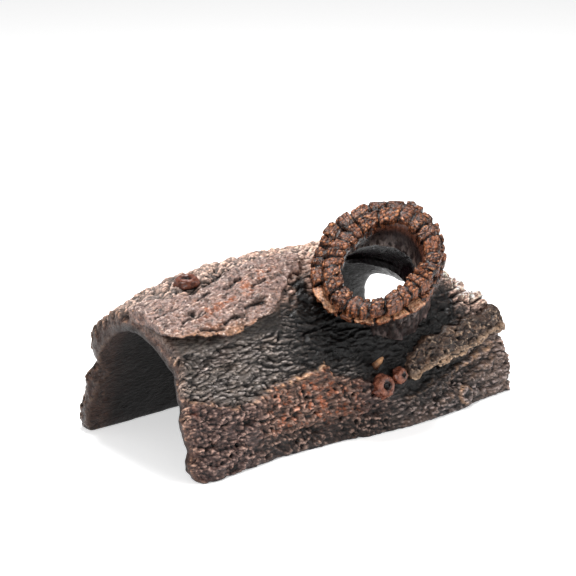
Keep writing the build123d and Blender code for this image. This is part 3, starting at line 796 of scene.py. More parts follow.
up_col = layer(np.tile(srgb(120, 115, 109), (len(x), 1)), srgb(84, 81, 78), smooth(30, 62, x))
up_col = layer(up_col, srgb(112, 92, 86), 0.55 * smooth(0.0, 0.5, spot) * smooth(40, 10, x))
lo_col = layer(np.tile(srgb(104, 84, 80), (len(x), 1)), srgb(118, 94, 82), smooth(26, 40, x) * smooth(84, 72, x))
lo_col = layer(lo_col, srgb(84, 68, 62), smooth(11, 6, z) * smooth(22, 40, x))
lo_col = layer(lo_col, srgb(168, 96, 54), 0.85 * smooth(0.02, 0.35, spot2 + 0.35 * spot) * smooth(32, 42, x) * smooth(84, 74, x) * smooth(6, 12, z))
lo_col = layer(lo_col, srgb(146, 84, 62), 0.6 * smooth(0.1, 0.5, spot) * smooth(9, 3, x) * smooth(8, 16, z))
ri_col = layer(np.tile(srgb(96, 87, 82), (len(x), 1)), srgb(122, 102, 90), smooth(0.0, 0.4, spot))
ri_col = layer(ri_col, srgb(132, 116, 106), smooth(132, 150, x))
ri_col = layer(ri_col, srgb(112, 78, 64), 0.6 * smooth(0.15, 0.5, spot2))
cr_col = layer(np.tile(srgb(134, 124, 117), (len(x), 1)), srgb(168, 146, 134), smooth(40, 62, x) * smooth(0.3, -0.2, spot))
cr_col = layer(cr_col, srgb(104, 98, 92), smooth(0.1, 0.5, spot))
re_col = layer(np.tile(srgb(108, 98, 91), (len(x), 1)), srgb(118, 92, 80), smooth(-0.1, 0.4, spot))
re_col = layer(re_col, srgb(150, 92, 58), 0.5 * smooth(0.25, 0.55, spot2 + 0.3 * big))
weight = {k: zones[k][:, None] for k in zones}
col = up_col * weight["upper"] + lo_col * weight["lower"] + ri_col * weight["right"] + cr_col * weight["crown"] + re_col * weight["rear"]
# painted shade: the dark hollow under the stump, the front wall round and below it, and the crown between the slab's
# right end and the stump
across, rise, depth = mouth_frame(x, y, z)
shade = smooth(36, 24, np.hypot(across - 4, rise * 0.9 + 2)) * smooth(4, 10, depth) * smooth(66, 44, s)
shade = np.maximum(shade, bump(x, 76, 30) * smooth(24, 33, z) * smooth(64, 54, s))
shade = np.maximum(shade, bump(x, 96, 20) * smooth(18, 26, z) * smooth(60, 50, s))
shade_past_slab = bump(x, 67, 20) * smooth(44, 50, z) * smooth(36, 27, y) * smooth(0.2, 2.0, edge)
shade = np.maximum(shade, shade_past_slab * smooth(-0.5, 0.1, spot))
col = layer(col, srgb(50, 44, 42), 0.85 * shade)
# dark wash in the hollows, pale dry brush on the ridges
wash = np.clip(0.75 * furrow * outer + 1.15 * smooth(0.03, 0.34, a) + 0.8 * smooth(0.05, 0.7, b) + 0.35 * smooth(0.2, 1.4, c) + 0.5 * marks["crack"] * outer * (upper + 0.5 * crown + 0.5 * rear) + 0.7 * marks["pits"] * outer * (1 - upper), 0, 0.93)
col = layer(col, DARK, wash)
ridge = smooth(0.02, 0.26, -a) * (0.55 + 0.45 * smooth(-0.2, 0.3, spot2)) + 0.45 * smooth(0.1, 0.7, -b)
tan = layer(np.tile(srgb(202, 178, 164), (len(x), 1)), srgb(186, 182, 178), upper)
tan = layer(tan, srgb(182, 172, 168), right * smooth(40, 30, s))
ridge = ridge * (1 - 0.35 * lower)
col = layer(col, tan, np.clip(ridge, 0, 1) * outer * (1 - 0.8 * shade) * mix(0.62, 0.8, crown + right))
# pale tan painted highlight along the lips' top edges, weaker where the wash darkens
col = layer(col, srgb(206, 170, 132), 0.6 * np.clip(lip, 0, 1) * (1 - 0.8 * wash))
# broken rims: brown with tan edges
rim_col = layer(np.tile(srgb(112, 84, 74), (len(x), 1)), srgb(196, 158, 124), smooth(0.0, 0.28, -a))
rim_col = layer(rim_col, DARK, 0.9 * smooth(0.03, 0.4, a))
col = layer(col, rim_col, 0.85 * np.clip(rim + 0.35 * near_rim * outer, 0, 1))
# inside: smooth dark brown, with painted light making it lighter and warmer near the open left end
in_col = layer(np.tile(srgb(60, 43, 38), (len(x), 1)), srgb(96, 70, 60), smooth(30, 0, x))
in_col = layer(in_col, srgb(128, 62, 44), 0.5 * smooth(0.1, 0.5, spot) * smooth(40, 10, x) * smooth(40, 10, z))
in_col = layer(in_col, srgb(52, 40, 37), 0.5 * smooth(-0.1, 0.4, big))
col = layer(col, in_col, inner)
# painted shade along the bottom 1.2 mm, where the shell stands on the floor
col = layer(col, srgb(44, 38, 36), smooth(1.2, 0.2, z) * 0.7)
gloss = 0.35 + 0.35 * smooth(0.0, 0.4, a) * outer + 0.25 * spot2 - 0.15 * inner
tune = 1.0 - 0.22 * lower * smooth(60, 72, x) * smooth(128, 112, x) + 2.4 * (crown + right * smooth(36, 46, s)) * smooth(118, 132, x) + 0.15 * lower - 0.30 * right * smooth(36, 28, s) - 0.25 * upper * smooth(40, 60, x)
# more contrast and per-zone brightness, with the painted shade under the stump deepened once more
col = 1.18 * punch(col, 0.285, 2.15) * (tune * (1 - 0.72 * shade * outer))[:, None]
col = col * np.array([1.05, 0.97, 0.96])
# the inner face of the rear wall near the left end in a very dark rim brown; painted shade darkens the rest of the
# inside by half, and the broken rims are darker towards the rear wall
leg = inner * smooth(13, 5, x) * smooth(44, 52, y)
col = layer(col, rim_col * 0.28, leg * (0.65 + 0.35 * smooth(-0.2, 0.2, spot2)))
col = col * (1 - 0.45 * (rim + near_rim * outer).clip(0, 1) * smooth(34, 48, y) - 0.5 * inner * (1 - leg))[:, None]
to_object("log_shell_bark", log, col, gloss, "log_shell", M_BARK)


# ------------------------------------------------------------------ frames and closed parametric tubes
def frame_at(seat, out):
    """Three axes at a seat, the last along out."""
    w = unit(out)
    u = unit(np.cross([0, 0, 1] if abs(w[2]) < 0.9 else [0, 1, 0], w))
    return np.asarray(seat, float), u, np.cross(w, u), w


def place(skin, seat, u, v, w):
    skin.v = np.asarray(seat) + skin.v[:, :1] * u + skin.v[:, 1:2] * v + skin.v[:, 2:3] * w
    return skin


def keep_in_box(skin, margin=0.15):
    lo = np.array(CAD_BOX[0]) * 1000 - SHIFT + margin
    hi = np.array(CAD_BOX[1]) * 1000 - SHIFT - margin
    lo[2] = 0.0
    skin.v = np.clip(skin.v, lo, hi)


def skin_distance(x, y, z):
    """Millimetres outside the log's outer skin."""
    th = angle_of(y, z)
    return (np.hypot(y - MID_Y, z) - look(R_OUT, x, th)) * look(G_OUT, x, th)


# ------------------------------------------------------------------ the crown's bark slab
LIP_LINE = [(-4, 53.0), (-1, 53), (5, 51.8), (9, 52.3), (14, 50.6), (18.6, 50.4), (24, 48.9), (29.5, 49.4), (33, 50.6), (36.2, 50.2), (41, 52.0), (46.4, 52.3), (49.8, 53.9), (56, 56.5), (80, 60)]


def slab_field(x, y, z):
    f = skin_distance(x, y, z)
    edge = in_polygon(x + 0.9 * perlin(x / 5, y / 5, z * 0, 201), y + 1.0 * perlin(x / 4, y / 4, z * 0, 202), CROWN_PLAN)
    rise = 2.6 + 2.8 * smooth(28, 13, y) + 0.7 * fbm(x / 12, y / 7, z * 0, 2, 0.5, 203) - 0.7 * smooth(-3.5, 0, edge) * smooth(14, 24, y)
    lip = np.interp(x, *np.array(LIP_LINE).T) - 0.7 + 0.5 * perlin(x / 2.6, x * 0, x * 0, 204)
    d = smax(f - rise, edge, 0.7)
    d = smax(d, (lip - z) * 0.9, 0.6)
    d = smax(d, (x * 0 - 0.55 - x + 0.5 * perlin(y / 4, z / 4, x * 0, 205)), 0.8)
    return np.maximum(d, -(f + 2.4))


slab = sculpt((-3.0, 5.0, 44.0), (80.0, 50.0, 71.5), 0.46, slab_field)
slab.relax(2, 0.5)
x, y, z = slab.v.T
n0 = slab.normals()
top = smooth(0.05, 0.45, n0[:, 2])
lipness = smooth(16.5, 12.0, y) * smooth(0.6, 0.2, n0[:, 2]) * smooth(57, 50, x)
fan = x / 7.0
wx, wy = x + 1.5 * perlin(x / 9, y / 6, z * 0, 211), y + 1.2 * perlin(x / 8, y / 6, z * 0, 212) - 0.10 * (x - 10)
f1, f2, ident = worley(wx / 5.6, wy / 2.3, x * 0 + 0.5, 213)
g1, g2, _ = worley(wx / 2.6, wy / 1.5, x * 0 + 0.5, 214)
net = np.exp(-((f2 - f1) / 0.13) ** 2) * smooth(-0.25, 0.15, perlin(x / 6, y / 5, z / 5, 215))
net2 = np.exp(-((g2 - g1) / 0.16) ** 2) * smooth(-0.05, 0.3, perlin(x / 4, y / 4, z / 4, 216))
pit = np.where(ident > 0.62, smooth(0.36, 0.10, f1), 0) * smooth(-0.3, 0.1, perlin(x / 10, y / 8, z / 8, 217))
gouge = np.zeros(len(x))
for line, width, depth in (
    ([(8, 19.0), (14, 20.5), (20, 20.8)], 0.55, 0.9),
    ([(1, 25.5), (7, 26.6), (12, 26.2)], 0.55, 0.9),
    ([(33, 28.0), (38, 28.6), (45, 31.0)], 0.6, 1.1),
    ([(36, 17.9), (41, 19.2), (47, 19.6)], 0.65, 1.3),
    ([(24, 15.0), (29, 16.2), (34, 15.6)], 0.5, 0.9),
    ([(44, 25.2), (49, 25.8), (54, 28.0)], 0.5, 0.9),
    ([(12, 14.5), (19, 13.8), (25, 13.4)], 0.55, 1.0),
    ([(21, 26.5), (26, 28.6), (30, 28.8)], 0.55, 1.0),
):
    d, t = near_line(x + 0.9 * perlin(x / 3, y / 3, z * 0, 218), y + 0.8 * perlin(x / 3, y / 3, z * 0 + 4, 219), line)
    gouge = np.maximum(gouge, depth * smooth(0, 0.12, t) * (1 - smooth(0.88, 1, t)) * np.exp(-((d / width) ** 2)))
lumps = 0.75 * fbm(x / 11, y / 6, z / 6, 3, 0.5, 221)
rough = fbm(x / 2.6, y / 2.2, z / 2.2, 4, 0.62, 222)
fibre = fbm(x / 5, wy / 0.9, z / 3, 3, 0.55, 223)
h = top * (0.38 * net + 0.22 * net2 - 1.45 * pit - 1.1 * gouge + 1.05 * rough + 0.28 * fibre) + lumps + (1 - top) * (0.75 * rough + 0.25 * net)
h += lipness * (0.55 * fbm(x / 2.2, y / 2, z / 2, 3, 0.6, 224) + 0.3)
slab.v += n0 * h[:, None]
slab.relax(1, 0.2)
slab.v[:, 0] = np.maximum(slab.v[:, 0], -0.72)
keep_in_box(slab)
nrm = slab.normals()
a, b, c = slab.hollow(2, 0.6), slab.hollow(10, 0.6), slab.hollow(40, 0.6)
x, y, z = slab.v.T
patch = fbm(x / 6, y / 3.4, z / 5, 3, 0.55, 225)
speckle = fbm(x / 1.9, y / 1.7, z / 1.7, 2, 0.6, 226)
col = layer(np.tile(srgb(176, 148, 138), (len(x), 1)), srgb(150, 128, 121), smooth(-0.1, 0.3, patch))
col = layer(col, srgb(92, 76, 70), 0.7 * smooth(0.05, 0.35, -patch + 0.5 * speckle))
col = layer(col, srgb(168, 122, 100), 0.6 * smooth(0.15, 0.5, speckle))
band = smooth(5.0, 1.5, np.abs(y - (16.0 + 0.24 * x))) * smooth(10, 24, x) * smooth(66, 56, x)
col = layer(col, srgb(186, 110, 66), 0.8 * band * smooth(-0.05, 0.3, patch + 0.4 * speckle))
col = layer(col, srgb(200, 128, 84), 0.7 * smooth(8, 0, np.abs(y - 12)) * smooth(0.1, 0.5, patch) * top)
col = layer(col, srgb(186, 144, 116), 0.75 * smooth(15.5, 12.5, y) * smooth(57, 50, x) * smooth(-0.2, 0.5, nrm[:, 2]))
# downward-facing faces painted dark red-brown as painted shade
under = smooth(0.15, -0.35, nrm[:, 2])
col = layer(col, srgb(92, 50, 38), 0.9 * under)
wash = np.clip(1.1 * smooth(0.04, 0.30, a) + 0.8 * smooth(0.08, 0.6, b) + 0.85 * pit * top + 0.55 * gouge * top, 0, 0.94)
col = layer(col, srgb(38, 27, 24), wash)
ridge = np.clip(smooth(0.01, 0.22, -a) * (0.6 + 0.4 * smooth(-0.2, 0.2, speckle)) + 0.22 * net + 0.10 * net2, 0, 1)
col = layer(col, srgb(234, 216, 206), 0.80 * ridge * smooth(-0.45, 0.2, speckle + 0.4 * patch) * top * (1 - 0.9 * gouge.clip(0, 1)))
col = layer(col, srgb(232, 178, 128), 0.75 * smooth(0.02, 0.25, -a) * (1 - top) * (1 - under))
to_object("crown_bark_slab_bark", slab, punch(col, 0.50, 1.75), 0.4 + 0.3 * smooth(0, 0.3, a), "crown_bark_slab", M_CROWN)


# ------------------------------------------------------------------ the bark slab on the right of the front wall
SIDE_OUTLINE = [(103.5, 17.2), (108, 16.6), (112, 18.8), (117, 19.2), (122, 18.4), (128, 20.4), (133, 20.2), (138, 22.2), (143, 22.6), (148, 25.0), (154, 25.2), (164, 27), (164, 37), (158, 35.0), (154, 35.4), (147, 33.2), (139, 34.2), (134, 31.4), (129, 32.4), (123, 30.2), (117, 31), (111, 27), (107.5, 25.6), (104.5, 22)]


def side_field(x, y, z):
    f = skin_distance(x, y, z)
    edge = in_polygon(x + 0.8 * perlin(x / 4, z / 4, y * 0, 231), z + 0.9 * perlin(x / 4, z / 4, y * 0 + 3, 232), SIDE_OUTLINE)
    rise = 2.6 + 0.7 * fbm(x / 9, z / 5, y * 0, 2, 0.5, 233) - 1.0 * smooth(27, 34, z - 0.12 * (x - 110))
    d = smax(f - rise, edge, 1.2)
    xr = look_th(X_RIGHT, angle_of(y, z)) + 0.9
    d = smax(d, x - np.minimum(xr, 160.6), 1.0)
    return np.maximum(d, -(f + 2.4))


side = sculpt((101.0, -4.0, 13.0), (162.5, 15.5, 40.0), 0.42, side_field)
side.relax(2, 0.5)
x, y, z = side.v.T
n0 = side.normals()
face = smooth(0.3, 0.75, -n0[:, 1])
rough = fbm(x / 2.8, y / 2.2, z / 2.0, 4, 0.62, 241)
chunk, chunk_id = plates(x, y, z, z, (5.2, 3.0), 242)
f1, f2, ident = worley(x / 3.0, z / 2.4, x * 0 + 0.5, 243)
pit = np.where(ident > 0.55, smooth(0.34, 0.10, f1), 0)
net = np.exp(-((f2 - f1) / 0.14) ** 2) * smooth(-0.1, 0.3, perlin(x / 5, z / 4, y / 4, 244))
fibre = fbm((x + z) / 5, (z - 0.2 * x) / 0.9, y / 3, 3, 0.55, 245)
h = 0.95 * rough + face * (0.9 * (chunk_id - 0.45) * chunk - 0.75 * (1 - chunk) - 0.9 * pit + 0.35 * net + 0.25 * fibre) + 0.5 * fbm(x / 7, z / 4, y * 0, 2, 0.5, 246)
side.v += n0 * h[:, None]
side.relax(1, 0.2)
side.v[:, 0] = np.minimum(side.v[:, 0], 160.9)
keep_in_box(side)
nrm = side.normals()
a, b, c = side.hollow(2, 0.6), side.hollow(10, 0.6), side.hollow(40, 0.6)
x, y, z = side.v.T
patch = fbm(x / 6, y / 4, z / 3.4, 3, 0.55, 247)
speckle = fbm(x / 1.9, y / 1.7, z / 1.7, 2, 0.6, 248)
col = layer(np.tile(srgb(112, 92, 82), (len(x), 1)), srgb(134, 104, 86), smooth(0, 0.4, patch))
col = layer(col, srgb(92, 84, 80), smooth(0.1, 0.5, speckle) * 0.6)
low = smooth(3.6, 0.8, z - np.interp(x, [104, 117, 128, 138, 148, 162], [16.5, 19.4, 20.4, 22.2, 25.0, 27.4]))
col = layer(col, srgb(188, 158, 130), 0.7 * low * smooth(-0.3, 0.3, nrm[:, 2] + 0.4))
wash = np.clip(1.1 * smooth(0.04, 0.30, a) + 0.8 * smooth(0.08, 0.6, b) + 0.7 * pit * face, 0, 0.93)
col = layer(col, srgb(34, 26, 23), wash)
col = layer(col, srgb(210, 186, 162), 0.8 * np.clip(smooth(0.02, 0.24, -a) * (0.5 + 0.5 * smooth(-0.2, 0.2, speckle)) + 0.3 * net * face, 0, 1))
# painted shade on the downward-facing faces
col = layer(col, srgb(40, 30, 27), 0.7 * smooth(-0.1, -0.6, nrm[:, 2]))
to_object("side_bark_slab_bark", side, punch(col, 0.32, 2.05) * 0.8, 0.35 + 0.3 * smooth(0, 0.3, a), "side_bark_slab", M_SIDE)


# ------------------------------------------------------------------ the stump's collar, a tube closed on itself
COLLAR_RIM = [20.0, 21.5, 23.0, 23.6, 21.0, 18.4, 17.6, 18.0, 19.2, 20.6, 21.8, 21.4, 19.4, 17.6, 17.2, 18.0]
COLLAR_WAIST = [21.2, 21.8, 22.6, 23.0, 22.0, 20.6, 20.0, 20.0, 20.4, 21.0, 21.4, 21.2, 20.2, 19.2, 19.0, 19.8]
BORE_RIM = [15.6, 17.2, 18.8, 19.2, 16.8, 14.4, 13.6, 14.2, 15.6, 17.2, 18.4, 18.0, 16.0, 14.2, 13.8, 14.4]
TURN = np.linspace(0, 360, 440, endpoint=False)
CT, ST = np.cos(np.radians(TURN))[:, None], np.sin(np.radians(TURN))[:, None]


def mouth_curve(radii, high):
    r = (round_table(radii, TURN) if np.ndim(radii) else np.full(len(TURN), radii))[:, None]
    return MOUTH + LEAN * high + r * (CT * SIDE + ST * RISE)


def root_curve(r, high):
    r = np.broadcast_to(r, TURN.shape)[:, None]
    high = np.broadcast_to(high, TURN.shape)[:, None]
    return ROOT + high * ROOT_LEAN + r * (CT * ROOT_U + ST * ROOT_V)


def first_depth(r, test, start=2.0, stop=-22.0):
    """How far down the root axis a line of the given radius goes before it meets the test, at each turn."""
    depth = np.full(len(TURN), stop)
    done = np.zeros(len(TURN), bool)
    for hgt in np.arange(start, stop, -0.2):
        p = root_curve(r, hgt)
        hit = test(*p.T) & ~done
        depth[hit] = hgt
        done |= hit
    for _ in range(12):
        depth = 0.25 * np.roll(depth, 1) + 0.5 * depth + 0.25 * np.roll(depth, -1)
    return depth


def in_cavity(x, y, z):
    th = angle_of(y, z)
    return np.hypot(y - MID_Y, z) < look(R_IN, x, th) - 0.4


SHOULDER = first_depth(25.2, lambda x, y, z: skin_distance(x, y, z) < -2.6)
PLUG_END = np.minimum(first_depth(20.3, in_cavity), SHOULDER - 1.2)
outline = [
    (root_curve(25.2, SHOULDER), 0),
    (root_curve(24.9, 0.45 * SHOULDER + 0.55 * 2.0), 16),
    (root_curve(24.4, 2.0) * 0.5 + mouth_curve(COLLAR_WAIST, -12.5) * 0.5, 14),
    (mouth_curve(COLLAR_WAIST, -9.0), 12),
    (mouth_curve(np.array(COLLAR_WAIST) * 0.45 + np.array(COLLAR_RIM) * 0.55, -4.2), 14),
    (mouth_curve(COLLAR_RIM, -0.6), 10),
    (mouth_curve(np.array(COLLAR_RIM) * 0.55 + np.array(BORE_RIM) * 0.45, 0.6), 5),
    (mouth_curve(np.array(BORE_RIM) + 0.2, -0.8), 7),
    (mouth_curve(np.array(BORE_RIM) * 0.6 + 15.8 * 0.4, -4.6), 12),
    (mouth_curve(15.2, -8.4), 11),
    (mouth_curve(14.9, -9.6), 5),
    (mouth_curve(16.2, -10.6), 5),
    (mouth_curve(17.6, -13.0), 7),
    (root_curve(18.3, -1.0), 12),
    (root_curve(18.2, 0.5 * PLUG_END - 1.0), 8),
    (root_curve(18.0, PLUG_END - 0.3), 8),
    (root_curve(19.2, PLUG_END - 1.0), 3),
    (root_curve(20.3, PLUG_END - 0.3), 3),
    (root_curve(20.3, 0.5 * (PLUG_END + SHOULDER)), 5),
    (root_curve(20.6, SHOULDER + 0.3), 4),
    (root_curve(23.0, SHOULDER - 0.3), 4),
]
rows, part = [], []
m = len(outline)
for i in range(m):
    p0, p1, p2, p3 = (outline[(i + k) % m][0] for k in (-1, 0, 1, 2))
    count = max(outline[(i + 1) % m][1], 4)
    for f in np.arange(count) / count:
        rows.append(0.5 * (2 * p1 + (p2 - p0) * f + (2 * p0 - 5 * p1 + 4 * p2 - p3) * f**2 + (3 * p1 - p0 - 3 * p2 + p3) * f**3))
        part.append(i + f)
rows, part = np.array(rows), np.array(part)
R, M = rows.shape[:2]
ids = np.arange(R * M).reshape(R, M)
nx_ = np.roll(ids, -1, 1)
quads = np.stack([ids, nx_, np.roll(nx_, -1, 0), np.roll(ids, -1, 0)], -1).reshape(-1, 4)
collar = Skin(rows.reshape(-1, 3), quads)
where_ = np.repeat(part, M)
turn = np.tile(np.radians(TURN), R)
x, y, z = collar.v.T
n0 = collar.normals()
centre = collar.v.mean(0)
across, rise, depth = mouth_frame(x, y, z)
outside = smooth(5.9, 5.2, where_)
bore = smooth(6.3, 7.2, where_) * smooth(16, 15, where_)
arc = turn * 22.0
# wrinkles run down the stump; the tube wall is smooth with a ragged lip below
cx, sx = np.cos(turn) * 22.0, np.sin(turn) * 22.0
wr = perlin(cx / 1.5, sx / 1.5, depth / 8.5, 301)
wr2 = perlin(cx / 3.6, sx / 3.6, depth / 12.0, 302)
rough = fbm(x / 2.8, y / 2.8, z / 2.8, 4, 0.6, 303)
lump = fbm(x / 9, y / 9, z / 9, 3, 0.5, 304)
f1, f2, ident = worley(cx / 3.2, sx / 3.2, depth / 4.6, 305)
pit = np.where(ident > 0.6, smooth(0.34, 0.1, f1), 0)
h = outside * (0.75 * lump + 0.42 * wr - 0.45 * np.maximum(1 - np.abs(wr2) * 5, 0) + 0.55 * rough - 0.6 * pit)
lipzone = np.exp(-(((where_ - 9.5) / 0.9) ** 2))
h += bore * (0.32 * lump + 0.10 * rough) - lipzone * (1.6 * fbm(cx / 7, sx / 7, depth * 0, 3, 0.6, 306) + 0.25 * rough)
below = smooth(11.0, 12.0, where_) * bore
h += below * 0.5 * fbm(x / 4, y / 4, z / 4, 3, 0.6, 307)
collar.v += n0 * h[:, None]
collar.relax(1, 0.2)
keep_in_box(collar)
nrm = collar.normals()
a, b, c = collar.hollow(2, 0.6), collar.hollow(12, 0.6), collar.hollow(40, 0.6)
x, y, z = collar.v.T
patch = fbm(x / 7, y / 7, z / 7, 3, 0.55, 311)
speckle = fbm(x / 1.8, y / 1.8, z / 2.4, 2, 0.6, 312)
col = layer(np.tile(srgb(108, 89, 85), (len(x), 1)), srgb(126, 104, 100), smooth(-0.1, 0.4, patch))
col = layer(col, srgb(122, 88, 72), 0.6 * smooth(0.2, 0.5, speckle) * smooth(10, 2, depth))
# painted shade on the stump's underside, deeper down the stump and towards one side, with the pale ridges dimmed there
col = layer(col, srgb(44, 38, 38), 0.85 * smooth(0.1, -0.5, nrm[:, 2]) * smooth(4, 14, depth) + 0.35 * smooth(-4, -20, across) * smooth(6, 14, depth))
wash = np.clip(1.1 * smooth(0.03, 0.28, a) + 0.7 * smooth(0.08, 0.6, b) + 0.4 * pit, 0, 0.92) * outside
col = layer(col, srgb(32, 25, 24), wash)
col = layer(col, srgb(196, 178, 170), 0.8 * outside * smooth(0.02, 0.22, -a) * (0.4 + 0.6 * smooth(-0.2, 0.3, speckle)) * (1 - 0.6 * smooth(6, 18, depth) * smooth(10, -10, across)))
tube = layer(np.tile(srgb(66, 54, 53), (len(x), 1)), srgb(88, 72, 68), smooth(0, 0.5, patch))
tube = layer(tube, srgb(150, 138, 132), 0.75 * lipzone * smooth(-0.1, 0.3, speckle + 0.2))
# painted shade: the bore deeper down in reddish black
tube = layer(tube, srgb(44, 24, 30), below)
tube = layer(tube, srgb(120, 76, 58), 0.7 * smooth(7.9, 7.2, where_))
col = layer(col, tube, bore)
to_object("stump_collar_bark", collar, punch(col, 0.20, 1.5), 0.35 + 0.25 * bore + 0.2 * smooth(0, 0.3, a), "stump_collar", M_STUMP)


# ------------------------------------------------------------------ the two rings of scales round the mouth
RING_INNER = [19.0, 21.0, 23.0, 23.2, 20.0, 17.0, 16.0, 16.9, 18.4, 20.4, 22.0, 21.8, 18.9, 16.4, 15.8, 16.8]
RING_OUTER = [20.8, 24.2, 28.2, 30.2, 28.4, 25.2, 23.2, 22.7, 23.4, 23.5, 22.6, 21.4, 19.4, 18.0, 17.6, 18.6]
GAPS_INNER = [9.3, 27.5, 42.1, 55.6, 68.2, 89.4, 115.8, 131.0, 145.7, 161.0, 174.4, 186.4, 200.9, 216.0, 233.0, 245.5, 253.6, 269.5, 290.4, 303.5, 316.2, 332.4, 344.5, 356.2]
GAPS_OUTER = [3.0, 15.2, 24.5, 32.9, 43.1, 54.9, 68.5, 81.4, 95.0, 111.5, 127.4, 143.3, 155.0, 167.6, 176.5, 195.1, 228.3, 241.3, 260.9, 278.0, 296.1, 317.1, 338.5]


def scales(gaps, radii, high, half, tall, gap_mm, petals, seed):
    """A ring of separate chunky scales over a thinner core, in the mouth's frame."""
    g = np.array(sorted(gaps))
    n = len(g)
    start, size = g, (np.roll(g, -1) - g) % 360
    mid = (start + size / 2) % 360
    rnd = np.random.RandomState(seed)
    rc = round_table(radii, mid)
    half_len = np.radians(size) / 2 * rc
    radial = half + rnd.uniform(-0.35, 0.45, n)
    height = tall + rnd.uniform(-0.35, 0.5, n)
    shift_r, shift_h = rnd.uniform(-0.4, 0.4, n), rnd.uniform(-0.45, 0.45, n)
    tilt_a, tilt_b = rnd.uniform(-0.14, 0.14, n), rnd.uniform(-0.2, 0.2, n)
    kind = rnd.randint(0, 4, n)
    petal = petals(mid)
    radial = radial * (1 - petal) + (1.75 + rnd.uniform(-0.5, 0.5, n)) * petal
    height = height * (1 - petal) + (2.4 + rnd.uniform(-0.7, 0.6, n)) * petal

    def pieces(a, b, w):
        deg = np.degrees(np.arctan2(b, a)) % 360
        k = np.searchsorted(g, deg, side="right") - 1
        k = np.where(k < 0, n - 1, k)
        along = np.radians((deg - mid[k] + 180) % 360 - 180) * rc[k]
        r = np.hypot(a, b) - round_table(radii, deg)
        pt = petal[k]
        s1 = r - shift_r[k] - pt * (2.0 + 0.35 * (w - high))
        s2 = w - high - shift_h[k] - tilt_a[k] * along - tilt_b[k] * r * (1 - pt)
        return deg, k, along, r, s1, s2, pt

    def field(a, b, w):
        deg, k, along, r, s1, s2, pt = pieces(a, b, w)
        warp = (0.35 + 0.55 * pt) * perlin(a / 2.2, b / 2.2, w / 2.2, seed + 1)
        rr = 1.15 - 0.45 * pt
        qa = np.abs(along + warp) - (half_len[k] - gap_mm / 2 - rr)
        qb = np.abs(s1 + warp) - (radial[k] - rr)
        qc = np.abs(s2) - (height[k] - rr)
        qc = qc + 0.10 * pt * (along**2) / np.maximum(half_len[k], 1)
        outside_ = np.sqrt(np.maximum(qa, 0) ** 2 + np.maximum(qb, 0) ** 2 + np.maximum(qc, 0) ** 2)
        block = outside_ + np.minimum(np.maximum(qa, np.maximum(qb, qc)), 0) - rr
        # broken into chips
        upper_side = smooth(-0.5, 0.8, s2)
        lines = np.where(kind[k] == 0, perlin(along / 0.62, r / 4.0, k * 3.7, seed + 3), np.where(kind[k] == 1, perlin(along / 4.0, r / 0.62, k * 3.7, seed + 4), perlin(along / 1.3, r / 1.2, w / 1.3, seed + 5)))
        e1, e2, eid = worley(along / 1.9 + k * 5.0, r / 1.7, w * 0 + 0.5, seed + 6)
        brick = 1 - smooth(0.02, 0.22, e2 - e1)
        block = block + 0.24 * np.maximum(lines, -0.2) * (0.4 + 0.6 * upper_side) * (1 - 0.6 * pt)
        block = block + (1 - 0.7 * pt) * (0.42 * brick - 0.45 * (eid - 0.5)) * np.where(kind[k] < 2, 0.75, 1.0)
        core = np.sqrt((r / np.maximum(half - 0.7, 0.5)) ** 2 + ((w - high) / max(tall - 0.6, 0.5)) ** 2) - 1.0
        core = core * min(half - 0.7, tall - 0.6)
        if petal.max() > 0:
            thin = petals(deg)
            core = np.where(thin > 0.5, np.sqrt((r - 0.4) ** 2 + ((w - high + 0.6) * 0.8) ** 2) - 1.3, core)
        return smin(block, core, 0.35)

    def gaps_and_chips(a, b, w):
        """Darkness between scales and along the cuts in them, and light on the chips' faces."""
        deg, k, along, r, s1, s2, pt = pieces(a, b, w)
        warp = 0.35 * perlin(a / 2.2, b / 2.2, w / 2.2, seed + 1)
        left = half_len[k] - np.abs(along + warp)
        e1, e2, eid = worley(along / 1.9 + k * 5.0, r / 1.7, w * 0 + 0.5, seed + 6)
        lines = np.where(kind[k] == 0, perlin(along / 0.62, r / 4.0, k * 3.7, seed + 3), np.where(kind[k] == 1, perlin(along / 4.0, r / 0.62, k * 3.7, seed + 4), perlin(along / 1.3, r / 1.2, w / 1.3, seed + 5)))
        chips = 1 - smooth(0.03, 0.16, e2 - e1)
        dark = np.maximum(smooth(0.60, 0.20, left), 0.75 * chips * (1 - 0.7 * pt))
        dark = np.maximum(dark, 0.7 * smooth(0.12, 0.5, lines) * (1 - 0.5 * pt))
        light = smooth(0.05, 0.5, -lines) * smooth(0.3, 0.8, eid + 0.3 * lines * 0)
        return dark, light

    return field, pieces, gaps_and_chips


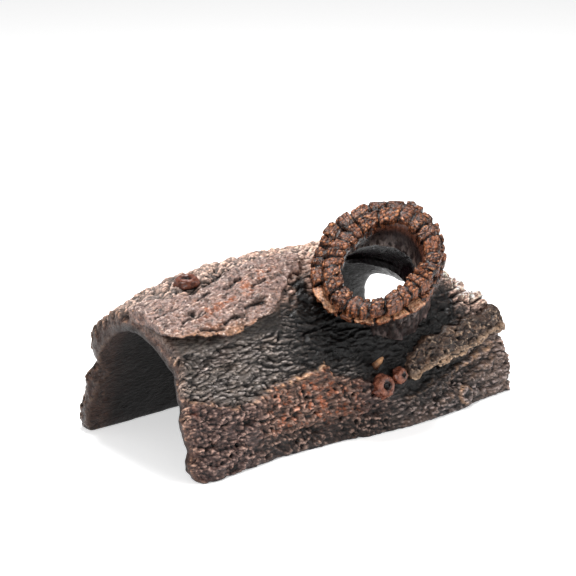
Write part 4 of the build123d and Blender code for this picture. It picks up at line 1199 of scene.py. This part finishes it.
def paint_ring(skin, pieces, cuts, tone, lowest):
    nrm = skin.normals()
    a, b, c = skin.hollow(2, 0.6), skin.hollow(9, 0.6), skin.hollow(30, 0.6)
    p, q, w = skin.v.T
    deg, k, along, r, s1, s2, pt = pieces(p, q, w)
    h1 = hashed(k, k * 0, k * 0, 77) / 4294967295.0
    speckle = fbm(p / 1.5, q / 1.5, w / 1.5, 3, 0.6, 321)
    patch = fbm(p / 6, q / 6, w / 6, 2, 0.6, 322)
    col = layer(np.tile(tone[0], (len(p), 1)), tone[1], smooth(0.2, 0.9, h1 + 0.6 * patch))
    col = layer(col, tone[2], 0.75 * smooth(0.05, 0.45, speckle))
    col = layer(col, srgb(214, 176, 146), pt * (0.30 + 0.6 * h1) * smooth(-4.4, -3.0, w + 0.5 * patch) * smooth(-0.3, 0.3, speckle + 0.2))
    wash = np.clip(1.15 * smooth(0.02, 0.20, a) + 0.9 * smooth(0.05, 0.42, b) + 0.5 * smooth(0.1, 0.9, c), 0, 0.95)
    dark, light = cuts(p, q, w)
    # pale tan chips, painted as a highlight on the faces turned out of the mouth
    col = layer(col, srgb(228, 168, 122), 0.65 * light * (1 - dark) * smooth(0.3, 0.9, nrm[:, 2]))
    col = layer(col, srgb(36, 15, 9), np.maximum(wash, 0.93 * dark))
    col = layer(col, srgb(236, 178, 134), 0.80 * (1 - 0.7 * dark) * smooth(0.01, 0.13, -a) * (0.35 + 0.65 * smooth(-0.2, 0.25, speckle)))
    # painted shade towards the ring's back, where it sits against the log; the petals are left out
    col = layer(col, srgb(40, 18, 12), 0.5 * smooth(lowest - 0.2, lowest - 2.4, w) * (1 - pt))
    return 0.93 * punch(col, 0.42, 1.9), 0.5 + 0.3 * smooth(0, 0.2, a)


def no_petals(deg):
    return np.zeros(np.shape(deg))


def low_petals(deg):
    return ((np.asarray(deg) > 195) & (np.asarray(deg) < 317)).astype(float)


TONES = (srgb(146, 90, 64), srgb(172, 110, 78), srgb(200, 132, 94))
field, pieces, cuts = scales(GAPS_OUTER, RING_OUTER, -5.4, 3.5, 3.2, 0.6, low_petals, 404)
ring = sculpt((-27, -28, -10.5), (29, 36, 0.5), 0.33, field)
ring.relax(1, 0.35)
col, gloss = paint_ring(ring, pieces, cuts, TONES, -6.4)
# painted shade on the outer ring inside its rim line, where it lies behind the inner ring, except along the petals
col = col * (1 - 0.8 * smooth(0.4, -1.6, np.hypot(ring.v[:, 0], ring.v[:, 1]) - round_table(RING_OUTER, np.degrees(np.arctan2(ring.v[:, 1], ring.v[:, 0]))) ) * (1 - low_petals(np.degrees(np.arctan2(ring.v[:, 1], ring.v[:, 0])) % 360)))[:, None]
place(ring, MOUTH, SIDE, RISE, LEAN)
keep_in_box(ring)
to_object("rim_ring_outer_scales", ring, col, gloss, "rim_ring_outer", M_RIM)

field, pieces, cuts = scales(GAPS_INNER, RING_INNER, -0.1, 3.75, 3.1, 0.35, no_petals, 507)
ring = sculpt((-29, -27, -4.6), (30, 31, 5.2), 0.33, field)
ring.relax(1, 0.35)
col, gloss = paint_ring(ring, pieces, cuts, TONES, -2.2)
place(ring, MOUTH, SIDE, RISE, LEAN)
keep_in_box(ring)
to_object("rim_ring_inner_scales", ring, col, gloss, "rim_ring_inner", M_RIM)


# ------------------------------------------------------------------ small cups, the spur and the crown's knot
def cup_skin(seat, out, r, height, seed, dimple=0.30, rough_mm=0.85):
    seat, u, v, w = frame_at(seat, out)

    def field(a, b, c):
        rad = np.hypot(a, b * 1.06)
        wob = rough_mm * perlin(a / 2.6, b / 2.6, c / 2.6, seed)
        body = np.sqrt((rad / r) ** 2 + ((c - 0.15 * height) / (0.80 * height)) ** 2) - 1
        body = body * min(r, height) * 0.8 + wob
        lipr = np.sqrt((rad - 0.62 * r) ** 2 + (c - 0.68 * height) ** 2) - 0.27 * r + 0.6 * wob
        d = smin(body, lipr, 0.7)
        bite = dimple * r * 0.95 - np.sqrt(rad**2 + ((c - 1.0 * height) * 0.8) ** 2) + 0.4 * wob
        d = smax(d, bite, 0.5)
        return np.maximum(d, -(c + 2.6))

    skin = sculpt((-r * 1.35, -r * 1.35, -3.2), (r * 1.35, r * 1.35, height * 1.4), 0.24, field)
    skin.relax(2, 0.5)
    p, q, c = skin.v.T
    n = skin.normals()
    skin.v += n * (0.16 * fbm(p / 1.6, q / 1.6, c / 1.6, 3, 0.6, seed + 3) + 0.25 * fbm(p / 4, q / 4, c / 4, 2, 0.5, seed + 4))[:, None]
    rad = np.hypot(p, q) / r
    return skin, (seat, u, v, w), rad, c / height


def paint_cup(skin, rad, high, seed, base, glow, hole):
    a, b = skin.hollow(3, 0.6), skin.hollow(16, 0.6)
    p, q, c = skin.v.T
    speckle = fbm(p / 1.5, q / 1.5, c / 1.5, 3, 0.6, seed + 5)
    col = layer(np.tile(base, (len(p), 1)), glow, smooth(-0.1, 0.45, speckle + 0.4 * high))
    col = layer(col, hole, smooth(0.52, 0.28, rad) * smooth(0.2, 0.45, high))
    # dark wash in the hollows, and painted shade at the foot where the cup meets the bark
    col = layer(col, srgb(34, 20, 16), np.clip(smooth(0.02, 0.25, a) + 0.6 * smooth(0.1, 0.6, b) + 0.9 * smooth(0.12, -0.1, high), 0, 0.92))
    return layer(col, srgb(226, 176, 146), 0.6 * smooth(0.01, 0.14, -a) * smooth(0.35, 0.8, high))


for name, seat, out, r, height, seed in (
    ("burl_large", (89.7, 2.6, 17.1), (0.05, -0.95, 0.31), 4.8, 4.2, 611),
    ("burl_small", (98.3, 2.9, 19.2), (0.25, -0.92, 0.31), 3.4, 3.5, 631),
):
    skin, at, rad, high = cup_skin(seat, out, r, height, seed)
    col = paint_cup(skin, rad, high, seed, srgb(112, 64, 50), srgb(158, 104, 84), srgb(46, 20, 15))
    place(skin, *at)
    keep_in_box(skin)
    to_object(name + "_cup", skin, punch(col, 0.36, 1.6), np.full(len(skin.v), 0.85), name, M_BURL)

skin, at, rad, high = cup_skin((26.6, 40.6, 60.6), (-0.10, -0.06, 0.99), 5.0, 2.6, 651, 0.30, 0.22)
col = paint_cup(skin, rad, high, 651, srgb(96, 56, 44), srgb(126, 78, 62), srgb(60, 28, 22))
place(skin, *at)
keep_in_box(skin)
to_object("crown_knot_cup", skin, punch(col, 0.30, 1.4), np.full(len(skin.v), 0.75), "crown_knot", M_BURL)

seat, u, v, w = frame_at((90.5, 6.0, 25.0), (0.0, -0.62, 0.78))


def spur_field(a, b, c):
    t = np.clip((c + 2.4) / 6.6, 0, 1)
    r = 1.95 - 1.25 * t + 0.25 * perlin(a / 1.8, b / 1.8, c / 1.8, 671)
    d = np.sqrt((a - 0.9 * t**2) ** 2 + (b * 1.15) ** 2 + np.maximum(c - 3.4, 0) ** 2 + np.maximum(-2.4 - c, 0) ** 2) - r
    return d * 0.9


spur = sculpt((-4, -4, -6), (5, 4, 6.5), 0.22, spur_field)
spur.relax(2, 0.5)
n = spur.normals()
p, q, c = spur.v.T
spur.v += n * (0.22 * fbm(p / 0.9, q / 0.9, c / 3, 3, 0.6, 673))[:, None]
a = spur.hollow(3, 0.6)
col = layer(np.tile(srgb(112, 80, 62), (len(p), 1)), srgb(190, 148, 112), smooth(-1.0, 3.2, c))
# dark wash in the hollows, and painted shade towards the foot where the spur meets the bark
col = layer(col, srgb(44, 28, 20), np.clip(smooth(0.02, 0.2, a) + 0.8 * smooth(-0.5, -2.2, c), 0, 0.9))
place(spur, seat, u, v, w)
keep_in_box(spur)
to_object("twig_spur_nub", spur, punch(col, 0.5, 1.5), np.full(len(spur.v), 0.5), "twig_spur", M_SPUR)

# the epoxy bead round the foot of the stump's plug, inside the log
low = PLUG_END - 0.2
high_ = np.maximum(0.5 * (PLUG_END + SHOULDER), PLUG_END + 0.9)
bead = []
for r, h in ((20.1, high_), (20.1, low + 0.5), (20.1, low), (20.5, low - 0.5), (21.0, low - 0.1), (21.0, low + 0.5), (20.8, high_), (20.45, high_ + 0.1)):
    bead.append(root_curve(r + 0.18 * perlin(CT[:, 0] * 9, ST[:, 0] * 9, TURN * 0 + h, 691), h))
bead = np.array(bead)
R, M = bead.shape[:2]
ids = np.arange(R * M).reshape(R, M)
nx_ = np.roll(ids, -1, 1)
quads = np.stack([ids, nx_, np.roll(nx_, -1, 0), np.roll(ids, -1, 0)], -1).reshape(-1, 4)
bond = Skin(bead.reshape(-1, 3), quads)
if ((bond.v - ROOT - (bond.v - ROOT) @ ROOT_LEAN[:, None] * ROOT_LEAN) * bond.normals()).sum(1)[6 * M : 7 * M].mean() < 0:
    bond.q = bond.q[:, ::-1]
keep_in_box(bond)
col = layer(np.tile(srgb(58, 44, 34), (len(bond.v), 1)), srgb(84, 66, 48), smooth(-0.3, 0.3, fbm(bond.v[:, 0] / 5, bond.v[:, 1] / 5, bond.v[:, 2] / 5, 2, 0.5, 692)))
to_object("collar_bond_bead", bond, col, np.full(len(bond.v), 0.9), "collar_bond", M_EPOXY)


# ------------------------------------------------------------------ floor, light and camera
def plain(name, colour, rough, own_light=0.0):
    mat = bpy.data.materials.new(name)
    mat.use_nodes = True
    bsdf = mat.node_tree.nodes["Principled BSDF"]
    bsdf.inputs["Base Color"].default_value = (*colour, 1)
    bsdf.inputs["Roughness"].default_value = rough
    bsdf.inputs["Specular IOR Level"].default_value = 0.2
    bsdf.inputs["Emission Color"].default_value = (1, 1, 1, 1)
    bsdf.inputs["Emission Strength"].default_value = own_light
    return mat


me = bpy.data.meshes.new("floor")
me.from_pydata([(-4, -4, 0), (4, -4, 0), (4, 4, 0), (-4, 4, 0)], [], [(0, 1, 2, 3)])
floor = bpy.data.objects.new("floor", me)
bpy.context.scene.collection.objects.link(floor)
me.materials.append(plain("floor_white", (0.92, 0.92, 0.92), 0.7, 0.38))

world = bpy.data.worlds.new("studio")
bpy.context.scene.world = world
world.use_nodes = True
world.node_tree.nodes["Background"].inputs[0].default_value = (1.0, 1.0, 1.0, 1)
world.node_tree.nodes["Background"].inputs[1].default_value = 0.47


def softbox(name, where, to, size, power, colour=(1, 1, 1)):
    lamp = bpy.data.lights.new(name, "AREA")
    lamp.shape, lamp.size, lamp.size_y, lamp.energy, lamp.color = "RECTANGLE", size[0], size[1], power, colour
    obj = bpy.data.objects.new(name, lamp)
    bpy.context.scene.collection.objects.link(obj)
    obj.location = where
    obj.rotation_mode = "QUATERNION"
    obj.rotation_quaternion = (Vector(to) - Vector(where)).to_track_quat("-Z", "Y")
    return obj


softbox("top_softbox", (0.05, 0.10, 0.75), (0, 0, 0.02), (0.24, 0.20), 6.6)
softbox("left_softbox", (-0.60, -0.25, 0.42), (0, 0, 0.03), (0.16, 0.16), 2.2)
softbox("right_softbox", (0.45, -0.50, 0.40), (0, 0, 0.03), (0.14, 0.16), 1.1)

cam_data = bpy.data.cameras.new("camera")
cam = bpy.data.objects.new("camera", cam_data)
bpy.context.scene.collection.objects.link(cam)
cam_data.lens, cam_data.sensor_width = 117.727, 36.0
cam_data.clip_start, cam_data.clip_end = 0.02, 20.0
eye = (np.array([-364.635, -502.795, 258.952]) + SHIFT) / 1000.0
target = (np.array([117.380, 93.227, 30.0]) + SHIFT) / 1000.0
cam.location = eye
cam.rotation_mode = "QUATERNION"
cam.rotation_quaternion = (Vector(target) - Vector(eye)).to_track_quat("-Z", "Y")
bpy.context.scene.camera = cam
bpy.context.scene.view_settings.view_transform = "Standard"
